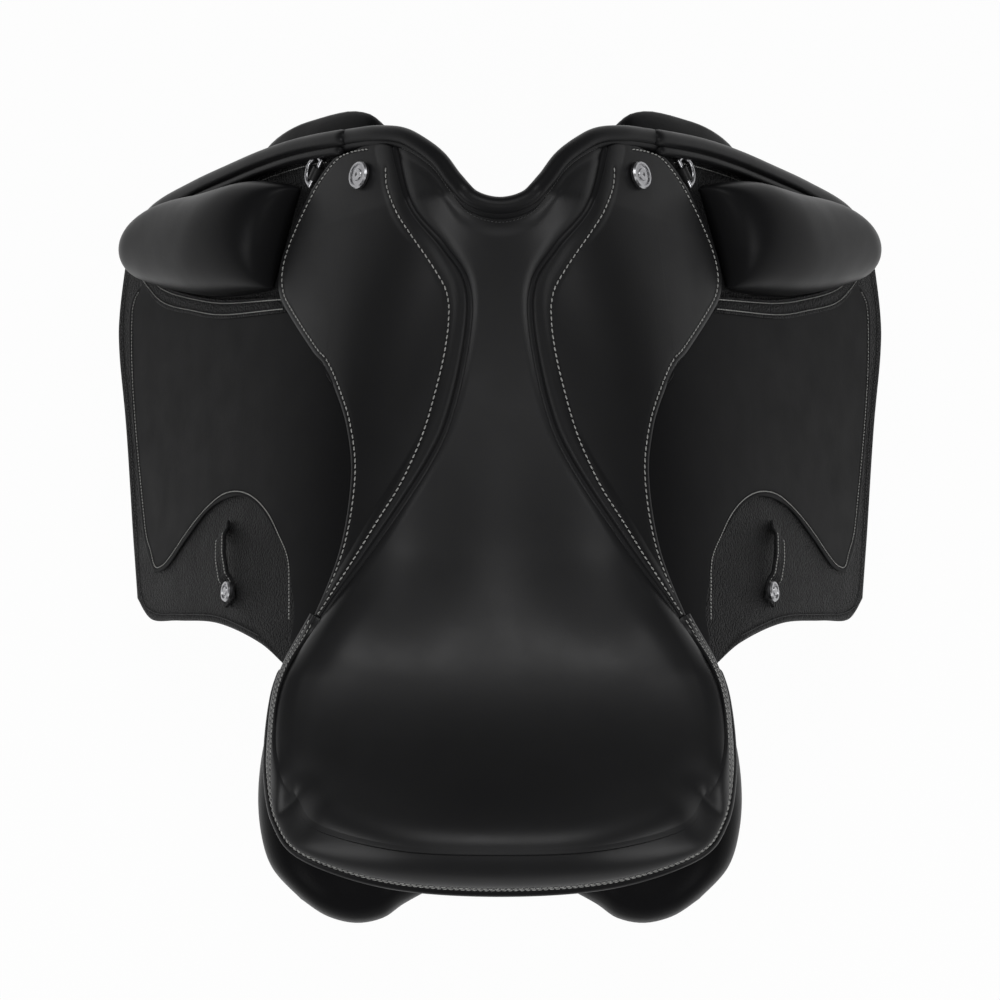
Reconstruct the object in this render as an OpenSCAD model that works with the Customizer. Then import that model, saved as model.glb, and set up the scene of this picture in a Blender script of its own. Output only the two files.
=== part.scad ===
// Monoflap dressage saddle: tree, seat, panels, flaps with thigh blocks, bars, billets and rings.
// +Z is up, +Y is towards the pommel, and the origin is on the horse's back at mid-length.

/* [Overall] */
// Overall length from the front of the panels to the rear of the panels
saddle_length = 522; // [430:2:640]
// Overall width across the bottoms of the two flaps
saddle_width = 552; // [460:2:680]
// Height of the lowest point of the seat above the panels' bearing line
seat_low = 103; // [96:1:125]
// Rise of the cantle above the lowest point of the seat
cantle_rise = 102; // [70:1:120]
// Rise of the seat towards the pommel above its lowest point
pommel_rise = 75; // [64:1:88]

/* [Leather] */
// Thickness of the flap's base leather, measured upright
flap_t = 5; // [4:0.5:6]
// Thickness of the lining under the flap, measured upright
lining_t = 3; // [2:0.5:4]
// Thickness of the smooth leather laid over the flap, measured upright
cover_t = 3.4; // [2.5:0.1:4]
// Thickness of the skirt, measured upright
skirt_t = 4; // [3:0.5:6]
// Thickness of the seat leather
seat_leather_t = 3; // [2:0.5:4]
// Thickness of the strip over the thigh block's rear seam
band_t = 2; // [1:0.5:3]
// Width of the strip over the thigh block's rear seam
band_w = 13; // [8:1:20]

/* [Padding] */
// Thickness of the seat foam
foam_t = 17; // [10:1:20]
// Height of the panels' top under the cantle
panel_rear_top = 118; // [100:1:122]
// Rise of the panels' underside at the rear end
panel_rear_rise = 58; // [40:1:70]
// Depth of the panels under the seat
panel_mid_t = 62; // [50:1:68]
// Depth of the panels in front, beside the withers
panel_front_t = 36; // [28:1:44]
// Height that the thigh block stands off the flap
block_h = 44; // [30:1:54]
// Radius of the roll on the pommel and on the front edge of the flap
roll_r = 5.5; // [4:0.5:6.5]
// Radius of the welt around the cantle
welt_r = 3.5; // [2.5:0.5:4.5]

/* [Tree] */
// Thickness of the tree's head
head_t = 9; // [7:0.5:10]
// Thickness of the tree's rails
rail_t = 8; // [6:0.5:9]
// Thickness of the steel plates on the tree
steel_t = 2; // [1.5:0.5:2.5]
// Thickness of the cantle board
board_t = 10; // [8:1:13]

/* [Stirrup bars] */
// Length of the slot that the stirrup leather slides into
slot_len = 46; // [40:1:54]
// Width of the slot that the stirrup leather slides into
slot_w = 14; // [10:1:16]
// Width of the bar that carries the stirrup leather
bar_w = 7; // [5:0.5:9]
// Thickness of the bar
bar_t = 6; // [5:0.5:6.5]
// Thickness of the lugs that rivet the bar to the tree
lug_t = 3.5; // [3:0.5:4]
// Thickness of the catch
catch_t = 2; // [1.5:0.5:2.5]
// Radius of the catch's pin
pin_r = 2; // [1.5:0.25:2.5]
// Radius of the rivets
rivet_r = 2.5; // [2:0.25:3]

/* [Straps and rings] */
// Width of a billet
billet_w = 25; // [22:1:32]
// Thickness of a billet
billet_t = 4.5; // [3.5:0.5:6]
// Length of a billet
billet_len = 360; // [300:5:430]
// Radius of a buckle hole
hole_r = 2.5; // [2:0.25:3.25]
// Distance between buckle holes
hole_pitch = 25; // [20:1:32]
// Number of buckle holes
hole_count = 6; // [4:1:8]
// Thickness of the webbing
web_t = 2; // [1.5:0.5:3]
// Radius of the ring's wire
wire_r = 1.5; // [1:0.25:2]
// Inside half width of the ring
ring_r = 8; // [7:0.5:9]
// Straight length of the ring's sides
ring_side = 2.5; // [1:0.5:3.5]

/* [Nails and keeper] */
// Radius of the saddle nail's head
nail_r = 9; // [7:0.5:10]
// Radius of the keeper's stud
stud_r = 7; // [5:0.5:8]
// Height of a nail head
nail_h = 3; // [2:0.5:4]
// Radius of a nail's shank
shank_r = 1.6; // [1:0.2:2]
// Length of the keeper's opening
keeper_len = 34; // [30:1:40]
// Width of the keeper's leather
keeper_w = 15; // [10:1:20]
// Thickness of the keeper's leather
keeper_t = 2.5; // [2:0.5:3.5]
// Height of the keeper's opening
keeper_gap = 6.5; // [6:0.5:8]

/* [Clearances] */
// Gap between leathers laid on each other
lay_gap = 0.6; // [0.5:0.1:0.9]
// Gap each side of the flap's fold line
fold_gap = 0.4; // [0.3:0.1:0.8]
// Gap between the seat foam and the tree
tree_gap = 1; // [0.8:0.1:1.5]
// Radial clearance of pins in their holes
pin_gap = 0.1; // [0.05:0.05:0.2]

/* [Hidden] */

black = [0.10, 0.10, 0.105];
soft_black = [0.14, 0.14, 0.145];
steel = [0.70, 0.70, 0.72];
wood = [0.55, 0.42, 0.28];
foam = [0.85, 0.82, 0.70];
cloth = [0.75, 0.73, 0.66];

// Outline points are given for a saddle 522 long and 552 wide, and stretch with the driving sizes.
kx = saddle_width / 552;
ky = saddle_length / 522;
function fit(points) = [for (p = points) [kx * p[0], ky * p[1]]];

// ---- Smooth curves and patches ----
function clamp01(t) = min(1, max(0, t));
function smooth(t) = let (s = clamp01(t)) s * s * (3 - 2 * s);
function mix(a, b, t) = a + (b - a) * t;

// A smooth curve through a list of points, t from 0 to 1
function spline(p, t) =
    let (
        n = len(p) - 1,
        s = clamp01(t) * n,
        i = min(n - 1, floor(s)),
        f = s - i,
        a = p[max(0, i - 1)],
        b = p[i],
        c = p[i + 1],
        d = p[min(n, i + 2)]
    )
    b + 0.5 * f * ((c - a) + f * ((2 * a - 5 * b + 4 * c - d) + f * (3 * (b - c) + d - a)));

// A patch is [inner, outer, rear, front]: u runs from rear to front, v from inner to outer
function on_patch(c, u, v) =
    mix(spline(c[0], u), spline(c[1], u), v)
    + mix(spline(c[2], v), spline(c[3], v), u)
    - mix(mix(c[0][0], c[1][0], v), mix(c[0][len(c[0]) - 1], c[1][len(c[1]) - 1], v), u);

function patch_grid(c, nu, nv) = [for (i = [0:nu]) [for (j = [0:nv]) on_patch(c, i / nu, j / nv)]];

// ---- Surfaces ----
ridge_h = 190;          // height of the arch over the horse's back, at mid-length
ridge_fall = 0.1;       // its fall towards the pommel
arch_r = 125;           // radius of the arch's top
arch_k = 2.2;           // steepness of its sides
twist_w = 85;           // half width over which the seat sinks between the thighs
rear_drop = 50;         // extra hang of the flap's rear corner, so that its bottom is nearly level
seat_over = 8;          // seat and skirt over the arch
low_y = -30;            // the seat's lowest point
front_run = 210;        // from there to the pommel's height
rear_run = 195;         // from there to the crest of the cantle
seat_half = 138;        // half width of the seat at the rear

function arch(x) = arch_k * (sqrt(x * x + arch_r * arch_r) - arch_r);
function ridge(y) = ridge_h - ridge_fall * y;
function seat_line(y) = seat_low + (y > low_y
    ? pommel_rise * pow((y - low_y) / front_run, 1.8)
    : 0.98 * cantle_rise * pow((low_y - y) / rear_run, 2.5));
// Outer side of the flap, the surface that every side leather is laid on
function hang(x, y) = rear_drop * pow(clamp01((abs(x) - 95) / 165), 1.5) * smooth((230 - y) / 250);
function side_nominal(x, y) = ridge(y) - arch(x) - hang(x, y)
    - max(0, ridge(y) + seat_over - seat_line(y)) * exp(-pow(x / twist_w, 2));
function side(x, y) = side_nominal(x / kx, y / ky);
// Top of the seat: the side surface in front, and the dished cantle behind
function rear_nominal(x, y) =
    let (w = min(1, abs(x) / seat_half), u = max(0, (low_y - y) / rear_run) + 0.12 * w * w)
    seat_low + cantle_rise * pow(u, 2.5) * (1 - 0.35 * w * w);
function seat_top(x, y) = mix(
    side(x, y) + seat_over,
    rear_nominal(x / kx, y / ky),
    smooth((low_y - y / ky) / 80));

function side_normal(x, y) =
    let (
        e = 0.5,
        gx = (side(x + e, y) - side(x - e, y)) / (2 * e),
        gy = (side(x, y + e) - side(x, y - e)) / (2 * e),
        n = [-gx, -gy, 1]
    )
    n / norm(n);
function on_side(p, h) = [p[0], p[1], side(p[0], p[1])] + h * side_normal(p[0], p[1]);

// Puts a child on the side surface: its Z along the normal, its Y near the given heading
module at_side(p, h, turn = 0) {
    n = side_normal(p[0], p[1]);
    across = cross([0, 1, 0], n) / norm(cross([0, 1, 0], n));
    along = cross(n, across);
    o = on_side(p, h);
    multmatrix([
        [across[0], along[0], n[0], o[0]],
        [across[1], along[1], n[1], o[1]],
        [across[2], along[2], n[2], o[2]],
        [0, 0, 0, 1]
    ])
        rotate([0, 0, turn]) children();
}

// ---- Solids from grids ----
// Closes two grids of points, upper and lower, into one solid
module skin(upper, lower) {
    nu = len(upper) - 1;
    nv = len(upper[0]) - 1;
    m = nv + 1;
    k = (nu + 1) * m;
    points = concat([for (r = upper) each r], [for (r = lower) each r]);
    tops = [for (i = [0:nu - 1], j = [0:nv - 1])
        let (a = i * m + j, b = a + 1, c = a + m, d = c + 1) each [[a, d, b], [a, c, d]]];
    bottoms = [for (f = tops) [f[0] + k, f[2] + k, f[1] + k]];
    rim = concat(
        [for (j = [0:nv]) j],
        [for (i = [1:nu]) i * m + nv],
        [for (j = [1:nv]) nu * m + nv - j],
        [for (i = [1:nu - 1]) (nu - i) * m]
    );
    e = len(rim);
    walls = [for (q = [0:e - 1])
        let (a = rim[q], b = rim[(q + 1) % e]) each [[a, b, b + k], [a, b + k, a + k]]];
    polyhedron(points, concat(tops, bottoms, walls));
}

// A sheet over a patch, from lower to upper height above the surface f
module sheet(c, nu, nv, f, upper, lower) {
    g = patch_grid(c, nu, nv);
    skin(
        [for (r = g) [for (p = r) [p[0], p[1], f(p[0], p[1]) + upper]]],
        [for (r = g) [for (p = r) [p[0], p[1], f(p[0], p[1]) + lower]]]
    );
}

// A round bar of radius r along a list of 3D points, with n sides
module bar(path, r, n = 8) {
    last = len(path) - 1;
    rings = [for (i = [0:last])
        let (
            t = path[min(last, i + 1)] - path[max(0, i - 1)],
            d = t / norm(t),
            s = cross(d, [0, 0, 1]) / norm(cross(d, [0, 0, 1])),
            w = cross(s, d)
        )
        [for (j = [0:n - 1]) path[i] + r * (cos(360 * j / n) * s + sin(360 * j / n) * w)]];
    points = [for (q = rings) each q];
    walls = [for (i = [0:last - 1], j = [0:n - 1])
        let (a = i * n + j, b = i * n + (j + 1) % n) each [[a, b, b + n], [a, b + n, a + n]]];
    ends = [[for (j = [0:n - 1]) n - 1 - j], [for (j = [0:n - 1]) last * n + j]];
    polyhedron(points, concat(walls, ends));
}

// ---- Outlines of the right side, seen from above ----
// Fold line of the flap and skirt, along the edge of the tree
fold_rear = [135 * kx, -95 * ky];
fold_front = [96 * kx, 214 * ky];
function fold_x(y) = mix(fold_rear[0], fold_front[0], (y - fold_rear[1]) / (fold_front[1] - fold_rear[1]));
function beside_fold(y, off) = [fold_x(y * ky) + off, y * ky];

// Edge of the seat, from the cantle's corner to the pommel
seam = fit([[126, -190], [137, -165], [139, -140], [134, -110], [114, -73], [81, -29], [45, 25],
    [30, 59], [20, 105], [21, 132], [34, 152], [56, 180], [66, 221.3]]);
crest = fit([[-126, -190], [-110, -208], [-60, -222], [0, -225], [60, -222], [110, -208], [126, -190]]);
pommel = fit([[-66, 221.3], [-54, 212.5], [-42.7, 201.2], [-32.7, 186.3], [-20, 172.8], [0, 167.5],
    [20, 172.8], [32.7, 186.3], [42.7, 201.2], [54, 212.5], [66, 221.3]]);
seat_patch = [[for (p = seam) [-p[0], p[1]]], seam, crest, pommel];

skirt_seam = fit([[128, -92], [114, -71], [81, -27], [45, 27], [31, 59], [21, 105], [22, 131],
    [35, 151], [57, 180], [68, 220.5]]);
skirt_edge = fit([[133, -96], [118, -69], [101, -28], [94, 17], [97, 50], [105, 76]]);
base_patch = [
    skirt_seam,
    concat(skirt_edge, [for (y = [94, 130, 170, 205, 225]) beside_fold(y, -fold_gap)]),
    fit([[128, -92], [133, -96]]),
    concat(fit([[68, 220.5], [76, 224.5], [86, 226.5]]), [beside_fold(225, -fold_gap)])
];
lobe_patch = [
    [for (y = [96, 150, 205, 226]) beside_fold(y, fold_gap)],
    fit([[113, 94], [120, 104], [136, 132], [144, 150], [144, 168], [136, 188], [121, 212], [107, 226]]),
    [beside_fold(96, fold_gap), fit([[113, 94]])[0]],
    [beside_fold(226, fold_gap), fit([[107, 226]])[0]]
];
// The margin gives way where a wider bar stands out further than the usual 14 mm
function beside_bar(y) = (slot_w / 2 + bar_w - 14) * smooth(1.5 - abs(y - 134 * ky) / slot_len);
margin_patch = [
    [for (p = fit([[130, -95], [116, -67], [99, -40], [89, -8], [90, 50], [99, 100], [97, 150], [90, 205],
        [84, 236]])) p + [beside_bar(p[1]), 0]],
    [for (y = [-95, 30, 150, 237]) beside_fold(y, -fold_gap)],
    [fit([[130, -95]])[0], beside_fold(-95, -fold_gap)],
    [fit([[84, 236]])[0], beside_fold(237, -fold_gap)]
];
flap_rear = concat([beside_fold(-95, fold_gap)],
    fit([[156, -74], [188, -52], [220, -40], [244, -31], [257, -12]]));
flap_front = concat([beside_fold(240, fold_gap)],
    fit([[110, 246], [150, 255], [195, 260], [240, 257], [268, 238]]));
flap_patch = [
    [for (y = [-95, 20, 130, 240]) beside_fold(y, fold_gap)],
    fit([[257, -12], [262, 36], [268, 112], [274, 166], [274, 195], [268, 238]]),
    flap_rear,
    flap_front
];
cover_patch = [
    [for (y = [-30, 50, 138]) beside_fold(y, 2)],
    fit([[242, 0], [252, 30], [261, 104], [265, 166], [264, 196], [254, 206]]),
    concat([beside_fold(-30, 2)],
        fit([[140, -12], [155, 13], [172, 27], [194, 27], [214, 13], [230, 0], [242, 0]])),
    concat([beside_fold(138, 2)], fit([[150, 144], [184, 158], [226, 184], [254, 206]]))
];
// Outline of the thigh block's foot
block_rear = fit([[152, 154], [184, 166], [212, 181], [236, 198], [246, 210]]);
block_front = fit([[132, 226], [150, 235], [178, 241], [206, 243], [236, 236]]);
block_patch = [
    fit([[152, 154], [150, 170], [142, 192], [133, 210], [132, 226]]),
    fit([[246, 210], [247, 222], [236, 236]]),
    block_rear,
    block_front
];
band_patch = [
    [for (p = fit([[150, 150], [182, 162], [210, 177], [234, 194], [247, 206]])) p - [0, band_w]],
    fit([[150, 150], [182, 162], [210, 177], [234, 194], [247, 206]]),
    [fit([[150, 150]])[0] - [0, band_w], fit([[150, 150]])[0]],
    [fit([[247, 206]])[0] - [0, band_w], fit([[247, 206]])[0]]
];
panel_patch = [
    fit([[42, -240], [35, -150], [32, -30], [34, 100], [44, 190], [62, 236]]),
    fit([[118, -244], [148, -205], [151, -160], [144, -120], [122, -84], [106, -40], [103, 20], [103, 90],
        [120, 140], [156, 182], [176, 238]]),
    fit([[42, -240], [64, -253], [92, -257], [118, -244]]),
    fit([[62, 236], [84, 254], [120, 262], [152, 257], [176, 238]])
];

// ---- Tree ----
head_patch = [
    fit([[-70, 158], [-70, 178]]), fit([[70, 158], [70, 178]]),
    fit([[-70, 158], [70, 158]]), fit([[-70, 178], [70, 178]])
];
head_top = seat_over - seat_leather_t - foam_t - tree_gap - 0.9;
head_low = head_top - head_t;
rail_top = -seat_leather_t - foam_t - tree_gap;
rail_low = rail_top - rail_t;
rail_patch = [
    fit([[62, -184], [50, -120], [38, -30], [30, 60], [30, 157.6]]),
    fit([[96, -176], [88, -120], [72, -30], [66, 60], [66, 157.6]]),
    fit([[62, -184], [96, -176]]),
    fit([[30, 157.6], [66, 157.6]])
];
board_patch = [
    fit([[-96, -200], [-96, -180]]),
    fit([[96, -200], [96, -180]]),
    fit([[-96, -200], [0, -220], [96, -200]]),
    fit([[-96, -180], [0, -190], [96, -180]])
];
function strap_patch(x0, x1, y0, y1) = [
    fit([[x0, y0], [x0, (y0 + y1) / 2], [x0, y1]]),
    fit([[x1, y0], [x1, (y0 + y1) / 2], [x1, y1]]),
    fit([[x0, y0], [x1, y0]]),
    fit([[x0, y1], [x1, y1]])
];

// ---- Stirrup bar, in a frame on the side surface ----
bar_at = [84 * kx, 134 * ky];
bar_top = -1.6;                               // top of the bar under the side surface
plate_w = 9;                                  // width of the plate beside the slot
plate_x = -slot_w / 2 - plate_w;              // inner edge of the plate
arm_x = slot_w / 2;                           // inner edge of the arm
bend_w = 8;                                   // width of the bend that joins them in front
bar_rear = -slot_len / 2;
bar_front = slot_len / 2 + bend_w;
catch_y = bar_rear + 3.5;                     // catch's pin
catch_w = 6;
lug_w = 10;
lug_low = bar_top - bar_t - 0.4;              // underside of the lugs
lug_ends = [plate_x - 15, plate_x - 21];      // inner ends of the front and rear lugs
lug_y = [bar_front - lug_w, bar_rear];
rivet_len = 14;

// ---- Ring and its tab ----
ring_at = [116.4 * kx, 223.7 * ky];
ring_turn = 43;                               // the ring's bar follows the skirt's edge
ring_up = wire_r + 2.1;
tab_r = wire_r + 1.9;
tab_t = 1.6;                                   // thickness of its leather
tab_w = 9;
tab_len = 11;

// ---- Keeper ----
keeper_at = [179 * kx, -12 * ky];
keeper_turn = -17;
keeper_foot = 7;                              // length of the front foot
stud_foot = 2 * stud_r + 2;                   // length of the rear foot, under the stud

// ---- Billets ----
billet_x = 119 * kx;
billet_z = 46;
billet_front_y = 88 * ky;
billet_rear_y = 38 * ky;
web_gap = 0.8;

// One rivet shape through each lug; a hole's shape is longer and a little wider
module rivet_shapes(r, h, up = 0) {
    for (i = [0, 1])
        translate([lug_ends[i] + lug_w / 2, lug_y[i] + lug_w / 2, lug_low + lug_t + up - h])
            cylinder(r = r, h = h, $fn = 32);
}

module rivet_holes() {
    at_side(bar_at, 0) rivet_shapes(rivet_r + pin_gap / 2, rivet_len + 20, 10);
}

module tree_head() {
    color(wood) difference() {
        sheet(head_patch, 2, 16, function (x, y) side(x, y), head_top, head_low);
        both_sides() rivet_holes();
    }
}

module gullet_plate() {
    color(steel) difference() {
        sheet(head_patch, 2, 16, function (x, y) side(x, y), head_low, head_low - steel_t);
        both_sides() rivet_holes();
    }
}

module head_rivets() {
    color(steel)
        both_sides() at_side(bar_at, 0) rivet_shapes(rivet_r, rivet_len);
}

module cantle_board() {
    color(wood)
        sheet(board_patch, 2, 14, function (x, y) seat_top(x, y), rail_top, rail_top - board_t);
}

module tree_rail() {
    color(wood) difference() {
        sheet(rail_patch, 16, 2, function (x, y) seat_top(x, y), rail_top, rail_low);
        rivet_holes();
    }
}

module spring_steel() {
    color(steel) difference() {
        sheet(rail_patch, 16, 2, function (x, y) seat_top(x, y), rail_low, rail_low - steel_t);
        rivet_holes();
    }
}

module stirrup_bar() {
    color(steel)
        at_side(bar_at, 0) difference() {
            union() {
                translate([plate_x, bar_rear, bar_top - bar_t])
                    cube([plate_w + slot_w + bar_w, bar_front - bar_rear, bar_t]);
                for (i = [0, 1])
                    translate([lug_ends[i], lug_y[i], lug_low])
                        cube([plate_x - lug_ends[i] + 4, lug_w, lug_t]);
            }
            translate([-slot_w / 2, bar_rear - 1, bar_top - bar_t - 1])
                cube([slot_w, slot_len + 1, bar_t + 2]);
            rivet_shapes(rivet_r + pin_gap / 2, rivet_len + 1, 1);
            translate([arm_x + bar_w / 2, catch_y, bar_top - bar_t - 1])
                cylinder(r = pin_r + pin_gap / 2, h = bar_t + 2, $fn = 32);
        }
}

module catch_pin() {
    translate([arm_x + bar_w / 2, catch_y, bar_top - bar_t])
        cylinder(r = pin_r, h = bar_t + lay_gap / 2 + catch_t, $fn = 32);
}

module catch_pins() {
    color(steel)
        both_sides() at_side(bar_at, 0) catch_pin();
}

module bar_catch() {
    color(steel)
        at_side(bar_at, 0) translate([arm_x + bar_w / 2, catch_y, bar_top + lay_gap / 2])
            difference() {
                union() {
                    cylinder(r = catch_w / 2, h = catch_t, $fn = 32);
                    translate([-slot_w - 2, -catch_w / 2, 0]) cube([slot_w + 2, catch_w, catch_t]);
                }
                translate([0, 0, -1]) cylinder(r = pin_r + pin_gap, h = catch_t + 2, $fn = 32);
            }
}

module both_sides() {
    children();
    mirror([1, 0, 0]) children();
}

// ---- Seat ----
module seat_webbing() {
    web_low = rail_top - web_t;
    color(cloth) {
        for (x = [-27, 5])
            sheet(strap_patch(x, x + 22, -186, 157), 18, 1, function (x, y) seat_top(x, y),
                rail_top, web_low);
        for (y = [-90, -35])
            sheet(strap_patch(-32, 32, y, y + 30), 3, 6, function (x, y) seat_top(x, y),
                web_low - lay_gap, web_low - lay_gap - web_t);
    }
}

module seat_foam() {
    color(foam)
        sheet(seat_patch, 26, 16, function (x, y) seat_top(x, y),
            -seat_leather_t, -seat_leather_t - foam_t);
}

module seat_cover() {
    color(black)
        sheet(seat_patch, 26, 16, function (x, y) seat_top(x, y), 0, -seat_leather_t);
}

// The rim of the seat at the rear, and the line of the welt below it
rim_plan = fit([[132.9, -98], [139, -112], [142.8, -140], [141, -167], [131, -192], [114, -211], [62, -226],
    [0, -229]]);
rim_line = [for (p = rim_plan) [p[0], p[1], seat_top(p[0] * 0.97, p[1] * 0.98) - 4]];
welt_line = [for (p = [[139, -101, 88], [145, -118, 92], [149, -145, 98], [149, -172, 110],
    [141, -202, 128], [122, -222, 142], [68, -238, 150], [0, -243, 152]])
    [p[0] * kx, p[1] * ky, p[2] + seat_low - 103]];
function flipped(path) = [for (i = [0:len(path) - 2])
    let (p = path[len(path) - 2 - i]) [-p[0], p[1], p[2]]];

module cantle_band() {
    n = 20;
    up = concat(rim_line, flipped(rim_line));
    low = concat(welt_line, flipped(welt_line));
    outer = [for (i = [0:n]) [for (j = [0:3]) mix(spline(up, i / n), spline(low, i / n) , j / 3)]];
    inward = [for (r = outer) [for (p = r)
        p + skirt_t * 0.75 * [-p[0] / 150 / kx, -p[1] / 240 / ky, -0.5]]];
    color(black) skin(outer, inward);
}

module seat_welt() {
    path = concat(welt_line, flipped(welt_line));
    n = 36;
    drop = [0, 0, -welt_r - 3];
    color(black) bar([for (i = [0:n]) spline(path, i / n) + drop], welt_r);
}

module pommel_binding() {
    half = fit([[0, 173.5], [17, 178], [28, 190], [38, 205], [50, 217], [62, 226], [78, 232], [91, 235.4]]);
    path = concat(
        [for (i = [0:len(half) - 2]) let (p = half[len(half) - 1 - i]) [-p[0], p[1]]],
        half
    );
    n = 30;
    color(black)
        bar([for (i = [0:n])
            let (p = spline(path, i / n)) [p[0], p[1], side(p[0], p[1]) + seat_over]], roll_r);
}

// ---- Side leathers ----
base_low = cover_t + lay_gap + 1;

module skirt_base() {
    color(black) difference() {
        sheet(base_patch, 24, 5, function (x, y) side(x, y), base_low + skirt_t, base_low);
        at_side(nail_at, -4) cylinder(r = shank_r + pin_gap, h = 24, $fn = 24);
    }
}

module skirt_lobe() {
    color(black)
        sheet(lobe_patch, 14, 5, function (x, y) side(x, y), base_low + skirt_t, base_low);
}

module flap_margin() {
    color(black)
        sheet(margin_patch, 16, 2, function (x, y) side(x, y), 0, -flap_t);
}

module flap() {
    color(black)
        sheet(flap_patch, 16, 11, function (x, y) side(x, y), 0, -flap_t);
}

module flap_lining() {
    color(soft_black)
        sheet(flap_patch, 16, 11, function (x, y) side(x, y), -flap_t, -flap_t - lining_t);
}

module flap_cover() {
    color(black)
        sheet(cover_patch, 12, 12, function (x, y) side(x, y), lay_gap + cover_t, lay_gap);
}

// Height of the thigh block over its foot: steep in front, sloping behind, round at both ends
function block_rise(u, v) =
    let (
        along = v < 0.25 ? sin(90 * v / 0.25) : (v > 0.7 ? cos(90 * (v - 0.7) / 0.3) : 1),
        across = u < 0.7 ? pow(sin(90 * u / 0.7), 0.8) : cos(80 * (u - 0.7) / 0.3)
    )
    1.5 + block_h * pow(max(0, along), 0.7) * max(0, across);

module thigh_block() {
    nu = 8;
    nv = 16;
    foot = patch_grid(block_patch, nu, nv);
    upper = [for (i = [0:nu]) [for (j = [0:nv])
        on_side(foot[i][j], lay_gap + block_rise(i / nu, j / nv))]];
    lower = [for (r = foot) [for (p = r) on_side(p, lay_gap)]];
    color(black) skin(upper, lower);
}

module block_band() {
    color(black)
        sheet(band_patch, 8, 2, function (x, y) side(x, y),
            cover_t + 2 * lay_gap + band_t, cover_t + 2 * lay_gap);
}

module front_roll() {
    path = fit([[96.8, 236.4], [126, 245], [151, 250], [177, 253], [205, 253.5], [235, 250], [256, 238]]);
    n = 16;
    color(black)
        bar([for (i = [0:n]) on_side(spline(path, i / n), roll_r + lay_gap)], roll_r);
}

module keeper_loop() {
    half = keeper_len / 2;
    color(black) at_side(keeper_at, lay_gap, keeper_turn)
        translate([-keeper_w / 2, 0, 0]) rotate([90, 0, 90]) linear_extrude(keeper_w)
            polygon([
                [-half - stud_foot, 0], [-half, 0], [-half, keeper_gap], [half, keeper_gap],
                [half, 0], [half + keeper_foot, 0], [half + keeper_foot, keeper_t],
                [half + keeper_t, keeper_gap + keeper_t], [-half, keeper_gap + keeper_t],
                [-half, keeper_t], [-half - stud_foot, keeper_t]
            ]);
}

// A round head with a raised rim and rings, on a shank
module round_nail(r, shank) {
    rotate_extrude($fn = 48) polygon([
        [0, 0], [r, 0], [r, nail_h * 0.6], [r - 0.8, nail_h],
        [r - 2, nail_h], [r - 2.4, nail_h * 0.7], [r * 0.45, nail_h * 0.75], [r * 0.4, nail_h],
        [r * 0.2, nail_h], [0, nail_h * 0.85]
    ]);
    if (shank > 0) translate([0, 0, -shank]) cylinder(r = shank_r, h = shank, $fn = 24);
}

module keeper_stud() {
    color(steel) at_side(keeper_at, lay_gap, keeper_turn)
        translate([0, -keeper_len / 2 - stud_foot / 2, keeper_t]) round_nail(stud_r, 0);
}

nail_at = [83 * kx, 209 * ky];
module saddle_nail() {
    color(steel) at_side(nail_at, (base_low + skirt_t) * 0.75 + lay_gap) round_nail(nail_r, 10);
}

// ---- D-ring: its straight bar turns in a leather tab ----
module d_ring() {
    arc_r = ring_r + wire_r;
    color(steel) at_side(ring_at, ring_up, ring_turn) rotate([0, 0, -90]) {
        translate([-arc_r, 0, 0]) rotate([0, 90, 0]) cylinder(r = wire_r, h = 2 * arc_r, $fn = 24);
        for (s = [-1, 1]) {
            translate([s * arc_r, 0, 0]) rotate([-90, 0, 0]) cylinder(r = wire_r, h = ring_side, $fn = 24);
            translate([s * arc_r, 0, 0]) sphere(r = wire_r, $fn = 24);
        }
        translate([0, ring_side, 0]) rotate_extrude(angle = 180, $fn = 64)
            translate([arc_r, 0]) circle(r = wire_r, $fn = 24);
    }
}

module d_ring_tab() {
    color(black) at_side(ring_at, ring_up, ring_turn) rotate([0, 0, -90]) difference() {
        union() {
            translate([-tab_w / 2, 0, 0]) rotate([0, 90, 0]) cylinder(r = tab_r, h = tab_w, $fn = 32);
            translate([-tab_w / 2, -tab_len, lay_gap - ring_up]) cube([tab_w, tab_len, tab_t]);
        }
        translate([-tab_w, 0, 0]) rotate([0, 90, 0])
            cylinder(r = wire_r + pin_gap, h = 2 * tab_w, $fn = 32);
    }
}

// ---- Panels ----
function panel_top(x, y) =
    let (
        X = x / kx,
        Y = y / ky,
        to_front = smooth((Y - 95) / 55),
        to_rear = smooth((-50 - Y) / 90),
        beside = side(x, y) + head_low - steel_t - 2.4 + 12 * smooth((X - 68) / 16),
        behind = min(seat_top(x * 0.9, y) + rail_low - steel_t - 6, panel_rear_top + seat_low - 103)
    )
    mix(mix(panel_mid_t, behind, to_rear), beside, to_front);
// Underside: flat on the horse's back, sweeping up behind, and following the shoulder in front
function panel_low(x, y) =
    let (Y = y / ky, rear_rise = panel_rear_rise * pow(clamp01((-140 - Y) / 116), 1.6))
    mix(rear_rise, panel_top(x, y) - panel_front_t, smooth((Y - 95) / 55));

module panel() {
    nu = 26;
    nv = 10;
    g = patch_grid(panel_patch, nu, nv);
    // Share of the depth at each place: full inside, rounded off towards the edges
    fill = function (u, v)
        max(0.06, pow(1 - pow(abs(2 * v - 1), 3), 0.5) * pow(1 - pow(abs(2 * u - 1), 16), 0.5));
    // Height at share s of the depth, 1 for the top and -1 for the underside
    level = function (p, s) mix(panel_low(p[0], p[1]), panel_top(p[0], p[1]), (1 + s) / 2);
    upper = [for (i = [0:nu]) [for (j = [0:nv]) let (p = g[i][j])
        [p[0], p[1], level(p, fill(i / nu, j / nv))]]];
    lower = [for (i = [0:nu]) [for (j = [0:nv]) let (p = g[i][j])
        [p[0], p[1], level(p, -fill(i / nu, j / nv))]]];
    color(black) skin(upper, lower);
}

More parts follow.
